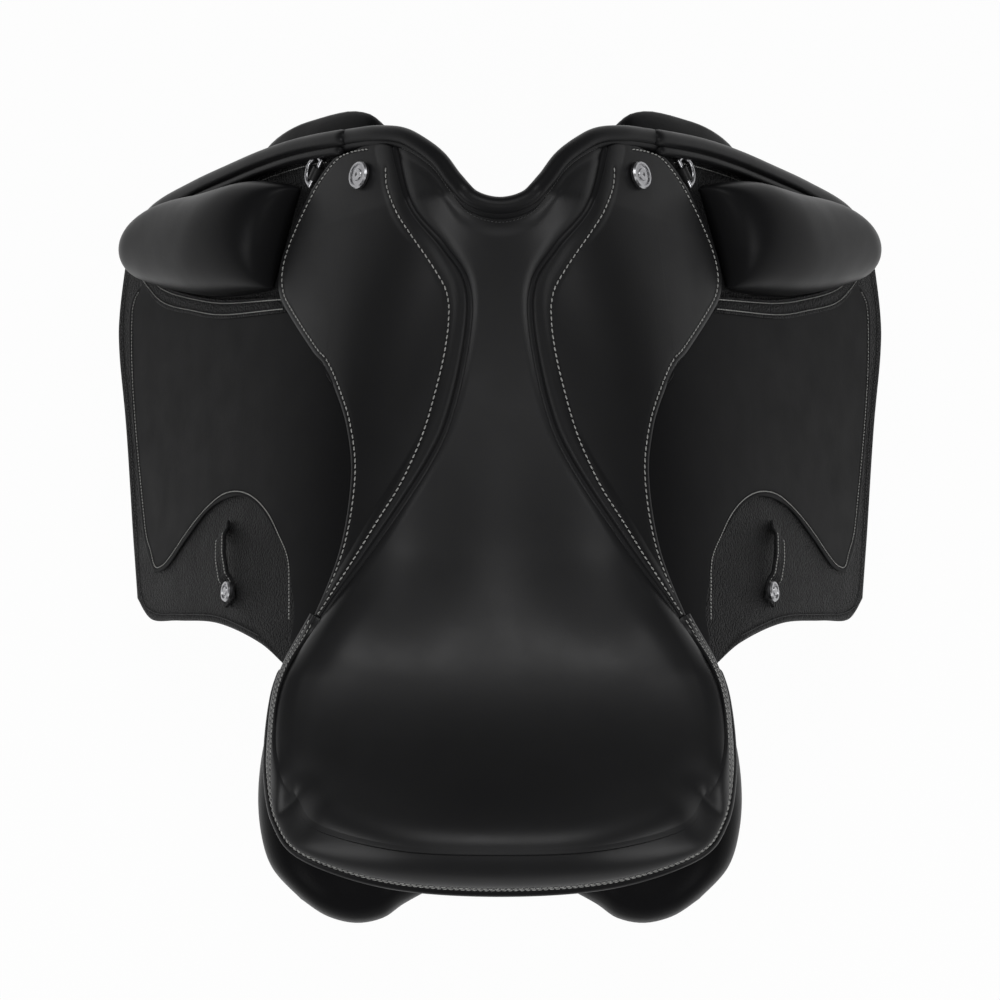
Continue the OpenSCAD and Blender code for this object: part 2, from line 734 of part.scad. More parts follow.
// ---- Girth straps ----
module girth_webbing() {
    top = [[74 * kx, 73], [94 * kx, 71], [108 * kx, 61],
        [billet_x, billet_z + billet_t / 2 + web_gap + web_t]];
    profile = concat(top, [for (i = [0:3]) top[3 - i] - [0, web_t]]);
    color(cloth) for (y = [billet_front_y, billet_rear_y])
        translate([0, y + billet_w / 2, 0]) rotate([90, 0, 0]) linear_extrude(billet_w) polygon(profile);
}

module billet(y) {
    hole_z = billet_z - billet_len + 30;
    color(black) difference() {
        union() {
            translate([billet_x, y + billet_w / 2, billet_z]) rotate([90, 0, 0])
                cylinder(r = billet_t / 2, h = billet_w, $fn = 32);
            translate([billet_x - billet_t / 2, y - billet_w / 2, billet_z - billet_len + billet_w / 2])
                cube([billet_t, billet_w, billet_len - billet_w / 2]);
            translate([billet_x - billet_t / 2, y, billet_z - billet_len + billet_w / 2])
                rotate([0, 90, 0]) cylinder(r = billet_w / 2, h = billet_t, $fn = 48);
        }
        for (i = [0:hole_count - 1])
            translate([billet_x - billet_t, y, hole_z + i * hole_pitch])
                rotate([0, 90, 0]) cylinder(r = hole_r, h = 2 * billet_t, $fn = 32);
    }
}

module left() {
    mirror([1, 0, 0]) children();
}

tree_head();
gullet_plate();
head_rivets();
cantle_board();
left() tree_rail();  // tree_rail_left
tree_rail();  // tree_rail_right
left() spring_steel();  // spring_steel_left
spring_steel();  // spring_steel_right
left() stirrup_bar();  // stirrup_bar_left
stirrup_bar();  // stirrup_bar_right
left() bar_catch();  // bar_catch_left
bar_catch();  // bar_catch_right
catch_pins();
seat_webbing();
seat_foam();
seat_cover();
cantle_band();
seat_welt();
pommel_binding();
left() skirt_base();  // skirt_base_left
skirt_base();  // skirt_base_right
left() skirt_lobe();  // skirt_lobe_left
skirt_lobe();  // skirt_lobe_right
left() flap_margin();  // flap_margin_left
flap_margin();  // flap_margin_right
left() flap();  // flap_left
flap();  // flap_right
left() flap_lining();  // flap_lining_left
flap_lining();  // flap_lining_right
left() flap_cover();  // flap_cover_left
flap_cover();  // flap_cover_right
left() thigh_block();  // thigh_block_left
thigh_block();  // thigh_block_right
left() block_band();  // block_band_left
block_band();  // block_band_right
left() front_roll();  // front_roll_left
front_roll();  // front_roll_right
left() keeper_loop();  // keeper_loop_left
keeper_loop();  // keeper_loop_right
left() keeper_stud();  // keeper_stud_left
keeper_stud();  // keeper_stud_right
left() saddle_nail();  // saddle_nail_left
saddle_nail();  // saddle_nail_right
left() d_ring();  // d_ring_left
d_ring();  // d_ring_right
left() d_ring_tab();  // d_ring_tab_left
d_ring_tab();  // d_ring_tab_right
left() panel();  // panel_left
panel();  // panel_right
left() girth_webbing();  // girth_webbing_left
girth_webbing();  // girth_webbing_right
left() billet(billet_front_y);  // billet_front_left
billet(billet_front_y);  // billet_front_right
left() billet(billet_rear_y);  // billet_rear_left
billet(billet_rear_y);  // billet_rear_right
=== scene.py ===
# Monoflap dressage saddle in black leather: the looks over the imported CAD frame.
import math

import bpy
import numpy as np
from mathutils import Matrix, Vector


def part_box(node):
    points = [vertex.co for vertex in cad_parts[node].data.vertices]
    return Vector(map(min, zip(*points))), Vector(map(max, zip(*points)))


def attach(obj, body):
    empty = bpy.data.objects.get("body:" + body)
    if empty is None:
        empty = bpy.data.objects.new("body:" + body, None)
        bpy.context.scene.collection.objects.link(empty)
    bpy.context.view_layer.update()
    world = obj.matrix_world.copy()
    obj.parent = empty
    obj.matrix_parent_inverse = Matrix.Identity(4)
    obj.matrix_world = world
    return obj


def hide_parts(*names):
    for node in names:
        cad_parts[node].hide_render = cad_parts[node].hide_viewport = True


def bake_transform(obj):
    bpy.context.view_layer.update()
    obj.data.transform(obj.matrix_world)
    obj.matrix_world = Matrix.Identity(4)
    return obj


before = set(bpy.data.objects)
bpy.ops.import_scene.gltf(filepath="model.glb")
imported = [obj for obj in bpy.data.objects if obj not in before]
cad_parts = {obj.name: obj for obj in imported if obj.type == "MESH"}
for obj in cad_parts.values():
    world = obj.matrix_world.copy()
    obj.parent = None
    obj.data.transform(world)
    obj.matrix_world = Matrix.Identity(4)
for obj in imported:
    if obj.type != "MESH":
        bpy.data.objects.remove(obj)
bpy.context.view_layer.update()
sides = {"right": 1, "left": -1}

# How the saddle is laid out, in millimetres
flapBox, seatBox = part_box("flap_right"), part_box("seat_cover")
saddle = {
    "wide": flapBox[1].x / 0.27436,      # stretch across, 1 at the designed width
    "long": (seatBox[1].y - seatBox[0].y) / 0.441,
    "seatLow": 103.0,                    # lowest point of the seat
    "pommelRise": 75.0,
    "cantleRise": 102.0,
    "seatOver": 8.0,                     # seat leather over the arch
    "skirtLow": 5.0,                     # underside of the skirt over the flap
    "skirtThick": 4.0,
    "coverLow": 0.6,
    "coverThick": 3.4,
    "flapThick": 5.0,
    "liningThick": 3.0,
}


def smooth(t):
    t = np.clip(t, 0, 1)
    return t * t * (3 - 2 * t)


def mix(a, b, t):
    return a + (b - a) * t


# Arch over the horse's back: a hyperbola across, a slight fall in front, and a flap that hangs lower behind
def arch(x):
    return 2.2 * (np.sqrt(x * x + 125.0**2) - 125)


def ridge(y):
    return 190 - 0.1 * y


# Profile of the seat along the middle: a power curve up to the pommel, a steeper one up to the cantle
def seatLine(y):
    front = saddle["pommelRise"] * (np.maximum(0, y + 30) / 210) ** 1.8
    rear = 0.98 * saddle["cantleRise"] * (np.maximum(0, -30 - y) / 195) ** 2.5
    return saddle["seatLow"] + np.where(y > -30, front, rear)


def hang(x, y):
    return 50 * np.clip((np.abs(x) - 95) / 165, 0, 1) ** 1.5 * smooth((230 - y) / 250)


# Outer side of the flap: the arch, lowered by the hang and by a bell-shaped twist under the thighs
def sideHeight(x, y):
    x, y = x / saddle["wide"], y / saddle["long"]
    dip = np.maximum(0, ridge(y) + 8 - seatLine(y)) * np.exp(-((x / 85) ** 2))
    return ridge(y) - arch(x) - hang(x, y) - dip


# Top of the seat: the side surface in front, turning into the dished cantle behind
def seatHeight(x, y):
    sx, sy = x / saddle["wide"], y / saddle["long"]
    w = np.minimum(1, np.abs(sx) / 138)
    u = np.maximum(0, (-30 - sy) / 195) + 0.12 * w * w
    rear = saddle["seatLow"] + saddle["cantleRise"] * u**2.5 * (1 - 0.35 * w * w)
    return mix(sideHeight(x, y) + saddle["seatOver"], rear, smooth((-30 - sy) / 80))


def normalsOf(surface, x, y):
    e = 0.5
    gx = (surface(x + e, y) - surface(x - e, y)) / (2 * e)
    gy = (surface(x, y + e) - surface(x, y - e)) / (2 * e)
    n = np.stack([-gx, -gy, np.ones_like(gx)], -1)
    return n / np.linalg.norm(n, axis=-1, keepdims=True)


def unit(v):
    return v / np.maximum(1e-9, np.linalg.norm(v, axis=-1, keepdims=True))


# Point at parameter t of a curve that passes smoothly through every point (Catmull-Rom)
def curveAt(points, t):
    p = np.asarray(points, float)
    n = len(p) - 1
    s = np.clip(np.asarray(t, float), 0, 1) * n
    i = np.minimum(n - 1, np.floor(s).astype(int))
    f = (s - i)[..., None]
    a, b, c, d = p[np.maximum(0, i - 1)], p[i], p[i + 1], p[np.minimum(n, i + 2)]
    return b + 0.5 * f * ((c - a) + f * ((2 * a - 5 * b + 4 * c - d) + f * (3 * (b - c) + d - a)))


# A curve resampled at equal steps of its own length
def evenly(points, count=None, step=None, smoothCurve=True):
    p = np.asarray(points, float)
    if smoothCurve:
        p = curveAt(p, np.linspace(0, 1, 24 * len(p)))
    run = np.concatenate([[0], np.cumsum(np.linalg.norm(np.diff(p, axis=0), axis=1))])
    if count is None:
        count = max(2, int(run[-1] / step) + 1)
    s = np.linspace(0, run[-1], count)
    return np.stack([np.interp(s, run, p[:, k]) for k in range(p.shape[1])], -1)


def distanceTo(line, x, y):
    q = evenly(line, step=2.5)[:, :2]
    p = np.stack([x.ravel(), y.ravel()], -1)
    nearest = np.full(len(p), 1e9)
    for k in range(0, len(q) - 1, 32):   # a few dozen segments of the line at a time
        a = q[None, k:k + 32][:, :len(q) - 1 - k]
        span = q[None, k + 1:k + 33] - a
        f = np.clip(((p[:, None] - a) * span).sum(2) / (span**2).sum(2), 0, 1)[..., None]
        nearest = np.minimum(nearest, np.linalg.norm(p[:, None] - a - f * span, axis=2).min(1))
    return nearest.reshape(x.shape)


# Points filling four edge curves (inner, outer, rear, front): a Coons patch
def patchPoints(patch, u, v):
    inner, outer, rear, front = (np.asarray(p, float) for p in patch)
    s, t = u[:, None, None], v[None, :, None]
    a, b = curveAt(inner, u)[:, None], curveAt(outer, u)[:, None]
    c, d = curveAt(rear, v)[None], curveAt(front, v)[None]
    corners = mix(mix(inner[0], outer[0], t), mix(inner[-1], outer[-1], t), s)
    return mix(a, b, t) + mix(c, d, s) - corners


# Grid lines along one direction: close together inside a rounded edge, then evenly spaced
def gridLines(length, step, edge):
    near = np.array([0, 0.05, 0.2, 0.45, 0.75]) * edge
    inside = np.linspace(edge, length - edge, max(3, int((length - 2 * edge) / step)))
    return np.concatenate([near, inside, (length - near)[::-1]]) / length


def fromEdges(points):
    steps = [np.linalg.norm(np.diff(points, axis=k), axis=-1) for k in (0, 1)]
    runs = []
    for k in (0, 1):
        r = np.concatenate([np.zeros_like(np.take(steps[k], [0], k)), np.cumsum(steps[k], k)], k)
        runs += [r, np.take(r, [-1], k) - r]
    return runs                          # from the rear, front, inner and outer edges


def quads(m, k, flip=False):
    i, j = np.meshgrid(np.arange(m - 1), np.arange(k - 1), indexing="ij")
    a = (i * k + j).ravel()
    q = np.stack([a, a + 1, a + k + 1, a + k], -1)
    return q[:, ::-1] if flip else q


# Makes a mesh object from points in millimetres; hand is -1 for the mirrored side
def makePiece(name, verts, faces, hand=1, masks=None, uv=None, sharp=50):
    v = np.asarray(verts, float).reshape(-1, 3) * [hand * 0.001, 0.001, 0.001]
    f = [np.asarray(face)[::-1].tolist() if hand < 0 else np.asarray(face).tolist() for face in faces]
    mesh = bpy.data.meshes.new(name)
    mesh.from_pydata(v.tolist(), [], f)
    for key, value in (masks or {}).items():
        layer = mesh.attributes.new(key, "FLOAT", "POINT")
        layer.data.foreach_set("value", np.asarray(value, np.float32).ravel())
    if uv is not None:
        loops = np.zeros(len(mesh.loops), int)
        mesh.loops.foreach_get("vertex_index", loops)
        layer = mesh.uv_layers.new(name="UVMap")
        layer.data.foreach_set("uv", np.asarray(uv, float).reshape(-1, 2)[loops].ravel())
    mesh.polygons.foreach_set("use_smooth", [True] * len(mesh.polygons))
    mesh.set_sharp_from_angle(angle=math.radians(sharp))
    mesh.validate()
    piece = bpy.data.objects.new(name, mesh)
    bpy.context.scene.collection.objects.link(piece)
    return piece


def finishPiece(piece, body, material, nodes=()):
    piece.data.materials.clear()
    piece.data.materials.append(material)
    if nodes:
        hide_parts(*nodes)
    if body:
        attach(piece, body)
    return piece


# Two grids of points, upper and lower, closed with a wall round their four edges
def shell(upper, lower):
    m, k = upper.shape[:2]
    n = m * k
    rim = np.concatenate([
        np.arange(k), np.arange(1, m) * k + k - 1,
        (m - 1) * k + np.arange(k - 2, -1, -1), np.arange(m - 2, 0, -1) * k])
    ring = np.roll(rim, -1)
    walls = np.stack([rim, rim + n, ring + n, ring], -1)
    faces = np.concatenate([quads(m, k), quads(m, k, True) + n, walls])
    return np.concatenate([upper.reshape(-1, 3), lower.reshape(-1, 3)]), faces


# A sheet of leather over a patch. Its edges are rounded by a circle of the given radius, except the cut ones.
# relief(x, y) lifts its face, and lines press a groove where they are stitched.
def leatherSheet(name, patch, low, high, step=2.0, edge=1.8, cut=(), surface=sideHeight,
                 relief=None, lines=(), grooveDeep=0.5, grooveWide=1.2, hand=1, outline=None,
                 roundDeep=None):
    rough = patchPoints(patch, np.linspace(0, 1, 17), np.linspace(0, 1, 17))
    spans = [np.linalg.norm(np.diff(rough, axis=k), axis=-1).sum(k).max() for k in (0, 1)]
    u, v = gridLines(spans[0], step, edge), gridLines(spans[1], step, edge)
    grid = patchPoints(patch, u, v)
    x, y = grid[..., 0], grid[..., 1]
    z = surface(x, y)
    runs = fromEdges(np.dstack([x, y, z]))
    names = ["rear", "front", "inner", "outer"]
    d = np.min([r if n not in cut else r * 0 + 99 for r, n in zip(runs, names)], 0)
    if outline is not None:
        d = np.min([distanceTo(line, x, y) for line in outline], 0)
    half, mid = (high - low) / 2, (high + low) / 2
    deep = half if roundDeep is None else roundDeep
    swell = half - deep * (1 - np.sqrt(np.clip(1 - (1 - np.minimum(1, d / edge)) ** 2, 0.03, 1)))
    groove = np.zeros_like(z)
    for line in lines:
        groove = np.maximum(groove, np.exp(-((distanceTo(line, x, y) / grooveWide) ** 2)))
    top = mid + swell - grooveDeep * groove * np.minimum(1, d / edge)
    if relief is not None:
        top = top + relief(x, y)
    upper = np.dstack([x, y, z + top])
    lower = np.dstack([x, y, z + mid - swell])
    verts, faces = shell(upper, lower)
    rim = np.exp(-d / 2.5)
    # The groove mask also darkens the colour in the leather material: painted shade in the stitched grooves
    masks = {"groove": np.concatenate([groove.ravel(), 0 * groove.ravel()]),
             "rim": np.concatenate([rim.ravel(), rim.ravel()])}
    uv = np.concatenate([grid.reshape(-1, 2), grid.reshape(-1, 2)]) * 0.001
    return makePiece(name, verts, faces, hand, masks, uv)


# A round cord of leather along a path: circles across it, which shrink to domes at its ends
def leatherTube(name, path, r, sidesCount=16, hand=1):
    p = np.asarray(path, float)
    t = unit(np.gradient(p, axis=0))
    s = unit(np.cross(t, [0, 0, 1.0]))
    w = np.cross(s, t)
    r = np.broadcast_to(np.asarray(r, float), (len(p),))
    run = np.concatenate([[0], np.cumsum(np.linalg.norm(np.diff(p, axis=0), axis=1))])
    fromEnd = np.minimum(run, run[-1] - run)
    taper = np.sqrt(np.clip(1 - (1 - np.minimum(1, fromEnd / r)) ** 2, 0.02, 1))
    a = np.linspace(0, 2 * np.pi, sidesCount, endpoint=False)
    radius = (r * taper)[:, None]
    verts = (p[:, None] + (radius * np.cos(a))[..., None] * s[:, None]
             + (radius * np.sin(a))[..., None] * w[:, None])
    m, k = len(p), sidesCount
    i, j = np.meshgrid(np.arange(m - 1), np.arange(k), indexing="ij")
    q = np.stack([i * k + j, (i + 1) * k + j, (i + 1) * k + (j + 1) % k, i * k + (j + 1) % k], -1)
    q = q.reshape(-1, 4)
    faces = [*q, np.arange(k), (m - 1) * k + np.arange(k)[::-1]]
    uv = np.stack(np.broadcast_arrays(run[:, None] * 0.001, a[None] / 6.283), -1)
    masks = {"groove": np.zeros(m * k), "rim": np.zeros(m * k)}
    return makePiece(name, verts, faces, hand, masks, uv)


# Adds close points at both ends of a path, so that its domes are round
def endsOf(path, r):
    p = np.asarray(path, float)
    run = np.concatenate([[0], np.cumsum(np.linalg.norm(np.diff(p, axis=0), axis=1))])
    extra = np.array([0.03, 0.12, 0.3, 0.6]) * r
    kept = run[(run <= 0) | ((run > r) & (run < run[-1] - r))]
    s = np.unique(np.concatenate([kept, [run[-1]], extra, run[-1] - extra]))
    return np.stack([np.interp(s, run, p[:, k]) for k in range(3)], -1)


# Stitching: one thread loop, a stretched ball, set at each step along a line. The line lies on a surface, or
# is given as points in space with the direction that is up at each.
def stitchRow(name, line, lift, surface=sideHeight, pitch=3.8, length=2.9, width=0.95, hand=1,
              slant=0.12, skip=1.5, points3d=None, upward=None):
    if points3d is None:
        q = evenly(line, step=0.5)
        raised = lift(q[:, 0], q[:, 1]) if callable(lift) else lift
        p = np.column_stack([q[:, :2], surface(q[:, 0], q[:, 1]) + raised])
        n = normalsOf(surface, q[:, 0], q[:, 1])
    else:
        p = evenly(points3d, step=0.5)
        n = unit(np.stack([np.interp(np.linspace(0, 1, len(p)), np.linspace(0, 1, len(upward)),
                                     np.asarray(upward)[:, k]) for k in range(3)], -1))
        p = p + lift * n
    run = np.concatenate([[0], np.cumsum(np.linalg.norm(np.diff(p, axis=0), axis=1))])
    at = np.arange(skip, run[-1] - skip, pitch)
    c = np.stack([np.interp(at, run, p[:, k]) for k in range(3)], -1)
    t = unit(np.stack([np.interp(at + 0.6, run, p[:, k]) for k in range(3)], -1) - c)
    nn = unit(np.stack([np.interp(at, run, n[:, k]) for k in range(3)], -1))
    s = unit(np.cross(nn, t))
    t, s = unit(t + slant * s), unit(s - slant * t)
    rings = np.array([-1.0, -0.82, -0.3, 0.3, 0.82, 1.0])
    fat = np.array([0.25, 0.72, 1.0, 1.0, 0.72, 0.25])
    a = np.linspace(0, 2 * np.pi, 6, endpoint=False)
    along = np.repeat(rings, 6) * length / 2
    across = (fat[:, None] * np.cos(a)).ravel() * width / 2
    high = (fat[:, None] * np.sin(a)).ravel() * width / 2 - 0.10 * np.repeat(rings**2, 6)
    verts = (c[:, None] + along[None, :, None] * t[:, None] + across[None, :, None] * s[:, None]
             + high[None, :, None] * nn[:, None])
    i, j = np.meshgrid(np.arange(5), np.arange(6), indexing="ij")
    q = np.stack([i * 6 + j, i * 6 + (j + 1) % 6, (i + 1) * 6 + (j + 1) % 6, (i + 1) * 6 + j], -1)
    q = q.reshape(-1, 4)
    offset = (np.arange(len(c)) * 36)[:, None, None]
    walls = (q[None] + offset).reshape(-1, 4)
    caps = np.concatenate([(end + offset).reshape(-1, 6) for end in (np.arange(5, -1, -1),
                                                                     np.arange(30, 36))])
    return makePiece(name, verts, [*walls, *caps], hand, sharp=80)


# Shared finishes, as node groups
def newGroup(name, inputs, outputs):
    group = bpy.data.node_groups.new(name, "ShaderNodeTree")
    for label, kind, value in inputs:
        socket = group.interface.new_socket(label, in_out="INPUT", socket_type=kind)
        if value is not None:
            socket.default_value = value
    for label, kind in outputs:
        group.interface.new_socket(label, in_out="OUTPUT", socket_type=kind)
    nodes = group.nodes
    return group, nodes, group.links, nodes.new("NodeGroupInput"), nodes.new("NodeGroupOutput")


def addNode(nodes, kind, **values):
    node = nodes.new(kind)
    for key, value in values.items():
        if hasattr(node, key):
            setattr(node, key, value)
        else:
            node.inputs[key.replace("_", " ")].default_value = value
    return node


def mathNode(nodes, links, operation, a, b=0.0, clamp=False):
    node = nodes.new("ShaderNodeMath")
    node.operation, node.use_clamp = operation, clamp
    for k, value in enumerate((a, b)):
        if isinstance(value, (int, float)):
            node.inputs[k].default_value = value
        else:
            links.new(value, node.inputs[k])
    return node.outputs[0]


# Pebbled cells and finer pores, broken up by a slow stretch of the grain. The colour varies in broad clouds, and is
# lighter on worn rims.
# The darkening of the colour in the stitched grooves is painted shade.
def buildLeatherGroup():
    group, nodes, links, start, end = newGroup("leatherGrain", [
        ("Colour", "NodeSocketColor", (0.014, 0.014, 0.015, 1)),
        ("Worn Colour", "NodeSocketColor", (0.03, 0.03, 0.031, 1)),
        ("Pebble Scale", "NodeSocketFloat", 700.0),
        ("Pebble Depth", "NodeSocketFloat", 0.25),
        ("Crease Depth", "NodeSocketFloat", 0.2),
        ("Wear", "NodeSocketFloat", 0.3),
        ("Rough", "NodeSocketFloat", 0.42),
    ], [("Colour", "NodeSocketColor"), ("Roughness", "NodeSocketFloat"), ("Height", "NodeSocketFloat")])
    coords = nodes.new("ShaderNodeTexCoord").outputs["Object"]

    def noise(scale, detail, vector=coords, rough=0.55):
        n = addNode(nodes, "ShaderNodeTexNoise", Scale=scale, Detail=detail, Roughness=rough)
        links.new(vector, n.inputs["Vector"])
        return n.outputs["Fac"]

    warp = addNode(nodes, "ShaderNodeTexNoise", Scale=90.0, Detail=2.0)
    links.new(coords, warp.inputs["Vector"])
    bend = nodes.new("ShaderNodeVectorMath")
    bend.operation = "MULTIPLY_ADD"
    links.new(warp.outputs["Color"], bend.inputs[0])
    bend.inputs[1].default_value = (0.0012,) * 3
    links.new(coords, bend.inputs[2])
    cells = addNode(nodes, "ShaderNodeTexVoronoi", feature="SMOOTH_F1", Smoothness=0.35)
    links.new(bend.outputs[0], cells.inputs["Vector"])
    links.new(start.outputs["Pebble Scale"], cells.inputs["Scale"])
    pebble = mathNode(nodes, links, "SUBTRACT", 0.6, cells.outputs["Distance"])
    pores = mathNode(nodes, links, "MULTIPLY", noise(2600.0, 3.0), 0.25)
    creases = noise(55.0, 6.0, bend.outputs[0], 0.7)
    wave = mathNode(nodes, links, "MULTIPLY", creases, start.outputs["Crease Depth"])
    deep = start.outputs["Pebble Depth"]
    grain = mathNode(nodes, links, "ADD", mathNode(nodes, links, "MULTIPLY", pebble, deep),
                     mathNode(nodes, links, "MULTIPLY", pores, deep))
    links.new(mathNode(nodes, links, "ADD", grain, wave), end.inputs["Height"])
    clouds = noise(9.0, 4.0)
    patchy = noise(38.0, 3.0)
    groove = addNode(nodes, "ShaderNodeAttribute", attribute_name="groove").outputs["Fac"]
    rim = addNode(nodes, "ShaderNodeAttribute", attribute_name="rim").outputs["Fac"]
    worn = mathNode(nodes, links, "MULTIPLY", mathNode(nodes, links, "MULTIPLY", rim, patchy),
                    start.outputs["Wear"], True)
    worn = mathNode(nodes, links, "ADD", worn, mathNode(nodes, links, "MULTIPLY", clouds, 0.22), True)
    tint = addNode(nodes, "ShaderNodeMix", data_type="RGBA")
    links.new(worn, tint.inputs["Factor"])
    links.new(start.outputs["Colour"], tint.inputs[6])
    links.new(start.outputs["Worn Colour"], tint.inputs[7])
    # Painted shade: the colour is multiplied darker where the groove mask marks a stitched groove
    grooveShadePaint = addNode(nodes, "ShaderNodeMix", data_type="RGBA", blend_type="MULTIPLY")
    links.new(mathNode(nodes, links, "MULTIPLY", groove, 0.55), grooveShadePaint.inputs["Factor"])
    links.new(tint.outputs[2], grooveShadePaint.inputs[6])
    grooveShadePaint.inputs[7].default_value = (0.35, 0.35, 0.35, 1)
    links.new(grooveShadePaint.outputs[2], end.inputs["Colour"])
    shift = mathNode(nodes, links, "MULTIPLY", mathNode(nodes, links, "SUBTRACT", patchy, 0.5), 0.16)
    dull = mathNode(nodes, links, "ADD", shift, mathNode(nodes, links, "MULTIPLY", groove, 0.15))
    rough = mathNode(nodes, links, "ADD", start.outputs["Rough"], dull, True)
    links.new(rough, end.inputs["Roughness"])
    return group


# Two crossed sets of ribs, a thread apart
def buildWeaveGroup():
    group, nodes, links, start, end = newGroup("tightWeave", [
        ("Colour", "NodeSocketColor", (0.4, 0.38, 0.33, 1)), ("Scale", "NodeSocketFloat", 900.0),
    ], [("Colour", "NodeSocketColor"), ("Height", "NodeSocketFloat")])
    coords = nodes.new("ShaderNodeTexCoord").outputs["Object"]
    ribs = []
    for direction in ("X", "Y"):
        wave = addNode(nodes, "ShaderNodeTexWave", bands_direction=direction, Distortion=1.2, Detail=2.0)
        links.new(coords, wave.inputs["Vector"])
        links.new(start.outputs["Scale"], wave.inputs["Scale"])
        ribs.append(wave.outputs["Fac"])
    height = mathNode(nodes, links, "MAXIMUM", *ribs)
    links.new(height, end.inputs["Height"])
    tint = addNode(nodes, "ShaderNodeMix", data_type="RGBA", blend_type="MULTIPLY")
    tint.inputs["Factor"].default_value = 0.5
    links.new(start.outputs["Colour"], tint.inputs[6])
    ramp = nodes.new("ShaderNodeValToRGB")
    links.new(height, ramp.inputs[0])
    links.new(ramp.outputs[0], tint.inputs[7])
    links.new(tint.outputs[2], end.inputs["Colour"])
    return group


# Fine scratches and handling marks for metal: stretched noise for the roughness and the height
def buildWearGroup():
    group, nodes, links, start, end = newGroup("brushedMarks", [
        ("Colour", "NodeSocketColor", (0.5, 0.5, 0.5, 1)), ("Rough", "NodeSocketFloat", 0.3),
    ], [("Colour", "NodeSocketColor"), ("Roughness", "NodeSocketFloat"), ("Height", "NodeSocketFloat")])
    coords = nodes.new("ShaderNodeTexCoord").outputs["Object"]
    stretch = addNode(nodes, "ShaderNodeMapping")
    stretch.inputs["Scale"].default_value = (2400, 180, 2400)
    links.new(coords, stretch.inputs["Vector"])
    marks = addNode(nodes, "ShaderNodeTexNoise", Scale=1.0, Detail=4.0)
    links.new(stretch.outputs[0], marks.inputs["Vector"])
    clouds = addNode(nodes, "ShaderNodeTexNoise", Scale=160.0, Detail=3.0)
    links.new(coords, clouds.inputs["Vector"])
    centred = mathNode(nodes, links, "SUBTRACT", clouds.outputs["Fac"], 0.5)
    spread = mathNode(nodes, links, "MULTIPLY", centred, 0.3)
    links.new(mathNode(nodes, links, "ADD", start.outputs["Rough"], spread, True), end.inputs["Roughness"])
    links.new(marks.outputs["Fac"], end.inputs["Height"])
    tint = addNode(nodes, "ShaderNodeMix", data_type="RGBA", blend_type="MULTIPLY")
    links.new(clouds.outputs["Fac"], tint.inputs["Factor"])
    links.new(start.outputs["Colour"], tint.inputs[6])
    tint.inputs[7].default_value = (0.72, 0.72, 0.74, 1)
    links.new(tint.outputs[2], end.inputs["Colour"])
    return group


leatherGroup, weaveGroup, wearGroup = buildLeatherGroup(), buildWeaveGroup(), buildWearGroup()


def newMaterial(name, group, values, bump, distance, shader):
    material = bpy.data.materials.new(name)
    material.use_nodes = True
    nodes, links = material.node_tree.nodes, material.node_tree.links
    surface = nodes["Principled BSDF"]
    look = nodes.new("ShaderNodeGroup")
    look.node_tree = group
    for key, value in values.items():
        look.inputs[key].default_value = (*value, 1) if isinstance(value, tuple) else value
    links.new(look.outputs["Colour"], surface.inputs["Base Color"])
    if "Roughness" in look.outputs:
        links.new(look.outputs["Roughness"], surface.inputs["Roughness"])
    relief = addNode(nodes, "ShaderNodeBump", Strength=bump, Distance=distance)
    links.new(look.outputs["Height"], relief.inputs["Height"])
    links.new(relief.outputs["Normal"], surface.inputs["Normal"])
    for key, value in shader.items():
        surface.inputs[key].default_value = value
    return material


# Leathers: colour, worn colour, pebbles per metre, then pebble depth, crease depth, roughness, strength and height
# of the bump in metres, and shine
leathers = {
    "seatCalf": ((0.0125, 0.0125, 0.0132), (0.022, 0.022, 0.023), 1300,
                 0.16, 0.35, 0.4, 0.3, 0.0004, 0.26),
    "skirtCalf": ((0.012, 0.012, 0.0126), (0.023, 0.023, 0.024), 1250,
                  0.18, 0.45, 0.42, 0.32, 0.0005, 0.13),
    "coverCalf": ((0.0105, 0.0105, 0.0111), (0.019, 0.019, 0.02), 1150,
                  0.22, 0.5, 0.45, 0.34, 0.0005, 0.02),
    "blockCalf": ((0.0105, 0.0105, 0.0112), (0.019, 0.019, 0.02), 1300,
                  0.15, 0.35, 0.36, 0.3, 0.0004, 0.06),
    "grainedHide": ((0.0125, 0.0125, 0.013), (0.026, 0.026, 0.027), 600,
                    1.4, 0.3, 0.5, 1.0, 0.0012, 0.06),
    "panelHide": ((0.01, 0.01, 0.0107), (0.018, 0.018, 0.019), 1000,
                  0.25, 0.8, 0.34, 0.4, 0.0005, 0.02),
    "weltHide": ((0.011, 0.011, 0.0117), (0.022, 0.022, 0.023), 1100,
                 0.2, 0.5, 0.38, 0.35, 0.0004, 0.12),
    "liningHide": ((0.0155, 0.0155, 0.016), (0.024, 0.024, 0.025), 900,
                   0.35, 0.5, 0.55, 0.4, 0.0004, 0.05),
    "strapHide": ((0.0115, 0.0115, 0.012), (0.032, 0.031, 0.03), 950,
                  0.3, 0.5, 0.44, 0.45, 0.0004, 0.2),
}
finish = {}
for name, (colour, worn, pebble, deep, crease, rough, bump, relief, shine) in leathers.items():
    values = {"Colour": colour, "Worn Colour": worn, "Pebble Scale": float(pebble), "Pebble Depth": deep,
              "Crease Depth": crease, "Wear": 0.8, "Rough": rough}
    finish[name] = newMaterial(name, leatherGroup, values, bump, relief, {"Specular IOR Level": shine})

